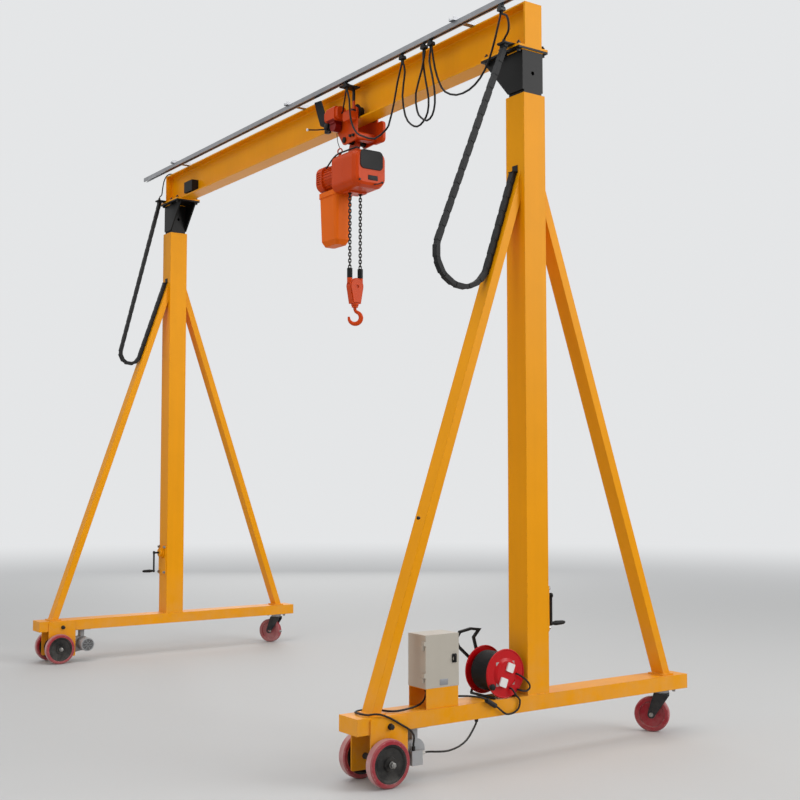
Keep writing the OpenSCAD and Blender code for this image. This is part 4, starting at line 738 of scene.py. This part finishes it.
finished(joined(beamWelds), "beamWelds", "lift_beam", "yellowPaint", 60)
print("welds laid")

# cable glands, where a lead goes into something

glandShape = {"nut": 0.011, "nutHeight": 0.007, "nutEdge": 0.0006, "dome": 0.0095, "length": 0.020}
glandSets = {
    "frameGlands": {"body": "portal", "bore": 0.0054, "axis": (0, 0, -1), "places": [
        (columnX + 0.055, -0.403, frameSizes["sillLow"]), (columnX + 0.017, -0.690, 0.426),
        (columnX + 0.030, -0.590, 0.426)]},
    "headGlands": {"body": "lift_beam", "bore": 0.0063, "axis": (0, 0, 1), "places": [
        (columnX, -0.150, 3.814), (-columnX, -0.150, 3.814)]},
}


def makeGland(bore):  # standing on Z = 0
    nut, tall = glandShape["nut"], glandShape["nutHeight"]
    clearSelection()
    bpy.ops.mesh.primitive_cylinder_add(vertices=6, radius=nut, depth=tall, location=(0, 0, tall / 2))
    settle()
    hexagon = roundEdges(glandShape["nutEdge"], 1)
    dome, top = glandShape["dome"], glandShape["length"]
    cap = turned([(bore, tall - 0.001), (dome, tall - 0.001), (dome, top - 0.006), (dome * 0.85, top - 0.002),
                  (bore + 0.0006, top), (bore, top - 0.001), (bore, tall - 0.001)], 24)
    return joined([hexagon, cap])


for name, glands in glandSets.items():
    pattern = makeGland(glands["bore"])
    copies = [another(pattern, facing(glands["axis"], place)) for place in glands["places"]]
    bpy.data.objects.remove(pattern)
    finished(joined(copies), name, glands["body"], "blackPlastic")
print("glands placed")

# control box: turning lock and bare plate

boxDetail = {"front": 2.3485, "lock": (-0.558, 0.567), "lockPlate": (0.004, 0.028, 0.044),
             "lockGrip": (0.014, 0.010, 0.032), "plate": (-0.623, 0.455), "plateSize": (0.0012, 0.050, 0.030)}
front = boxDetail["front"]
lockPlate = panel(boxDetail["lockPlate"], (front + 0.002, *boxDetail["lock"]), 0.006)
lockGrip = block(boxDetail["lockGrip"], (front + 0.010, *boxDetail["lock"]), 0.004, 3)
finished(joined([lockPlate, lockGrip]), "boxLock", "box_door", "blackPlastic")
finished(panel(boxDetail["plateSize"], (front + 0.0006, *boxDetail["plate"]), 0.003, 0.0003), "boxPlate",
         "box_door", "zinc")
print("control box dressed")

# guards of rings and spokes in front of the motors' fans, each over a black disc of painted shade

guardShape = {"rings": (0.22, 0.42, 0.62, 0.82, 1.0), "wire": 0.0016, "spokes": 8, "disc": 0.0008,
              "spokeStart": 0.2}
fans = [
    {"radius": 0.045, "body": "portal", "finish": "motorSilver",
     "places": {"near": ((-1, 0, 0), (2.126, -0.773, 0.137)), "far": ((1, 0, 0), (-2.126, -0.773, 0.137))}},
    {"radius": 0.066, "body": "trolley", "finish": "blackPaint",
     "places": {"hoist": ((-1, 0, 0), (0.208, 0, 3.490))}},
]


def fanGuard(radius):  # standing on Z = 0
    wire, thick = guardShape["wire"], guardShape["disc"]
    # painted shade: a black disc under the wires stands for the shaded fan housing behind the guard
    disc = turned([(0, 0), (radius, 0), (radius, thick), (0, thick)], 48)
    parts = []
    for share in guardShape["rings"]:
        middle = radius * share - wire
        parts.append(turned([(middle + wire * math.cos(turn), 2.5 * wire + wire * math.sin(turn))
                             for turn in [math.pi * step / 3 for step in range(7)]], 48))
    lift = Vector((0, 0, 1.4 * wire))
    for spoke in range(guardShape["spokes"]):
        turn = 2 * math.pi * (spoke + 0.5) / guardShape["spokes"]
        way = Vector((math.cos(turn), math.sin(turn), 0))
        low, high = way * radius * guardShape["spokeStart"], way * (radius - wire)
        parts.append(bentRod([low + lift, high + lift], wire, False, 2))
    return disc, joined(parts)


for fan in fans:
    disc, wires = fanGuard(fan["radius"])
    for name, (axis, place) in fan["places"].items():
        matrix = facing(axis, place)
        # the black disc is painted shade for the fan housing behind the guard
        finished(another(disc, matrix), name + "FanShade", fan["body"], "blackPlastic")
        finished(another(wires, matrix), name + "FanGuard", fan["body"], fan["finish"], 60)
    bpy.data.objects.remove(disc)
    bpy.data.objects.remove(wires)
print("fan guards placed")

# hoist: end panel, bare plate, trim, strap, lifting eye with its rod, and screws

hoistDetail = {
    "end": 0.758, "panel": (0.006, 0.176, 0.126), "panelMiddle": (0.0, 3.526), "panelCorner": 0.030,
    "panelRim": 0.009, "panelSunk": 0.002, "plate": (0.002, 0.076, 0.032), "plateMiddle": (0.012, 3.409),
    "screws": (0.088, 3.388), "screwFlats": 0.011,
}
hoistEnd = hoistDetail["end"]
hoistRods = {
    "hoistTrim": {"radius": 0.0035, "finish": "cableRubber", "points": [
        (hoistEnd + 0.001, 0.020, 3.366), (hoistEnd + 0.001, 0.075, 3.385), (hoistEnd - 0.008, 0.098, 3.412),
        (hoistEnd - 0.014, 0.104, 3.471)]},
    "hoistStrap": {"radius": 0.0055, "finish": "cableRubber", "points": [
        (0.752, -0.094, 3.592), (0.735, -0.095, 3.601), (0.695, -0.096, 3.604), (0.598, -0.097, 3.606),
        (0.503, -0.103, 3.602), (0.440, -0.100, 3.584), (0.380, -0.092, 3.562), (0.338, -0.086, 3.547)]},
    "hoistEyeRod": {"radius": 0.0024, "finish": "boltBlack", "points": [
        (0.486, -0.070, 3.652), (0.482, -0.084, 3.690), (0.480, -0.092, 3.753)]},
}
eyeShape = {
    "wire": 0.0045, "reach": 0.018, "ringAxis": (0.35, -0.94, 0), "ringPlace": (0.486, -0.070, 3.633),
    "collarPlace": (0.486, -0.070, 3.599),
    "collar": ((0, 0), (0.014, 0), (0.014, 0.004), (0.009, 0.006), (0.009, 0.014), (0.006, 0.017), (0, 0.017)),
}


def hoistRod(name):
    rod = hoistRods[name]
    finished(bentRod(rod["points"], rod["radius"]), name, "trolley", rod["finish"], 60)


endPanel = panel(hoistDetail["panel"], (hoistEnd + 0.003, *hoistDetail["panelMiddle"]),
                 hoistDetail["panelCorner"], 0.002)
endPanel = sunkFace(endPanel, 1, hoistDetail["panelRim"], hoistDetail["panelSunk"])
finished(endPanel, "hoistEndPanel", "trolley", "blackPlastic")
hoistPlate = panel(hoistDetail["plate"], (hoistEnd + 0.001, *hoistDetail["plateMiddle"]), 0.004, 0.0005)
finished(hoistPlate, "hoistPlate", "trolley", "blackPaint")
hoistRod("hoistTrim")
hoistRod("hoistStrap")
ring = turned([(eyeShape["reach"] + eyeShape["wire"] * math.cos(math.pi * step / 4),
                eyeShape["wire"] * math.sin(math.pi * step / 4)) for step in range(9)], 32)
collar = turned(eyeShape["collar"], 24)
eye = joined([moved(ring, facing(eyeShape["ringAxis"], eyeShape["ringPlace"])),
              moved(collar, facing((0, 0, 1), eyeShape["collarPlace"]))])
finished(eye, "hoistEye", "trolley", "hoistOrange", 60)
hoistRod("hoistEyeRod")
across, z = hoistDetail["screws"]
boltSet("hoistScrews", "trolley", hoistDetail["screwFlats"],
        [((hoistEnd - 0.004, side * across, z), (1, 0, 0)) for side in (-1, 1)], 0, "boltBlack")
print("hoist dressed")

# trolley: block at the far plate, switch lever with its roller, brake, axle nuts and bolts

blockShape = {"size": (0.024, 0.132, 0.140), "place": (0.713, 0.088, 3.729), "corner": 0.026, "edge": 0.004,
              "rim": 0.012, "sunk": 0.003, "turn": -90}
switchShape = {
    "place": (0.400, -0.128, 3.790), "body": (0.040, 0.034, 0.046), "armRadius": 0.0045,
    "arm": ((0.020, 0), (-0.020, -0.002), (-0.075, -0.014), (-0.140, -0.024)),  # y and z from the place
    "roller": ((0, 0), (0.007, 0), (0.009, 0.002), (0.009, 0.008), (0.007, 0.010), (0, 0.010)),
}
brakeShape = {
    "place": (0.435, -0.117, 3.797),
    "profile": ((0, 0), (0.026, 0), (0.030, 0.004), (0.030, 0.018), (0.024, 0.022), (0.024, 0.034),
                (0.014, 0.038), (0, 0.038)),
}
trolleyRows = {
    "trolleyAxleNuts": {"flats": 0.028, "out": 0.0838, "tail": 0.004, "places": ((0.445, 3.851), (0.685, 3.851))},
    "trolleyBolts": {"flats": 0.017, "out": 0.084, "tail": 0, "places": ((0.677, 3.696), (0.640, 3.700))},
}
farBlock = sunkFace(panel(blockShape["size"], (0, 0, 0), blockShape["corner"], blockShape["edge"]), -1,
                    blockShape["rim"], blockShape["sunk"])
turnToSide = Matrix.Rotation(math.radians(blockShape["turn"]), 4, "Z")
finished(moved(farBlock, Matrix.Translation(blockShape["place"]) @ turnToSide), "trolleyBlock", "trolley",
         "hoistOrange")
switchPlace = Vector(switchShape["place"])
lever = [switchPlace + Vector((0, *offset)) for offset in switchShape["arm"]]
leverArm = bentRod(lever, switchShape["armRadius"])
leverBody = block(switchShape["body"], switchPlace + Vector((0, 0.016, 0)), 0.004, 3)
finished(joined([leverArm, leverBody]), "switchLever", "trolley", "blackPlastic")
roller = turned(switchShape["roller"], 20)
finished(moved(roller, facing((0, -1, -0.2), lever[-1])), "switchRoller", "trolley", "whitePlastic")
brake = turned(brakeShape["profile"], 36)
finished(moved(brake, facing((0, -1, 0), brakeShape["place"])), "trolleyBrake", "trolley", "blackPaint")
for name, row in trolleyRows.items():
    boltSet(name, "trolley", row["flats"],
            [((x, side * row["out"], z), (0, side, 0)) for side in (-1, 1) for x, z in row["places"]],
            row["tail"], "boltBlack")
print("trolley dressed")

# reel: turning knob on the front

knobShape = {
    "place": (2.3465, -0.323, 0.400),
    "profile": ((0, 0), (0.009, 0), (0.008, 0.006), (0.015, 0.010), (0.017, 0.017), (0.015, 0.024),
                (0.008, 0.027), (0, 0.0275)),
}
knob = turned(knobShape["profile"], 28)
finished(moved(knob, facing((1, 0, 0), knobShape["place"])), "reelKnob", "portal", "blackPlastic")
print("reel dressed")

# chains: plain copies of the CAD chain nodes, which are hidden; the real ones pay out links between the two bodies
# they join

chainRuns = {
    "dragChains": {"node": "drag_chains", "bodies": ("portal", "lift_beam"),
                   "start": (2.275, -0.17, 3.12), "end": (2.275, -0.17, 3.80)},
    "loadChain": {"node": "load_chain", "bodies": ("trolley", "hook_block"),
                  "start": (0.565, 0, 3.36), "end": (0.565, 0, 2.86)},
}
for name, run in chainRuns.items():
    node = cadNodes[run["node"]]
    mesh = node.data.copy()
    mesh.name = name
    mesh.transform(node.matrix_world)
    mesh.materials.clear()
    mesh.materials.append(node.material_slots[0].material)
    chain = bpy.data.objects.new(name, mesh)
    scene.collection.objects.link(chain)
    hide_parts(run["node"])
    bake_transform(chain)
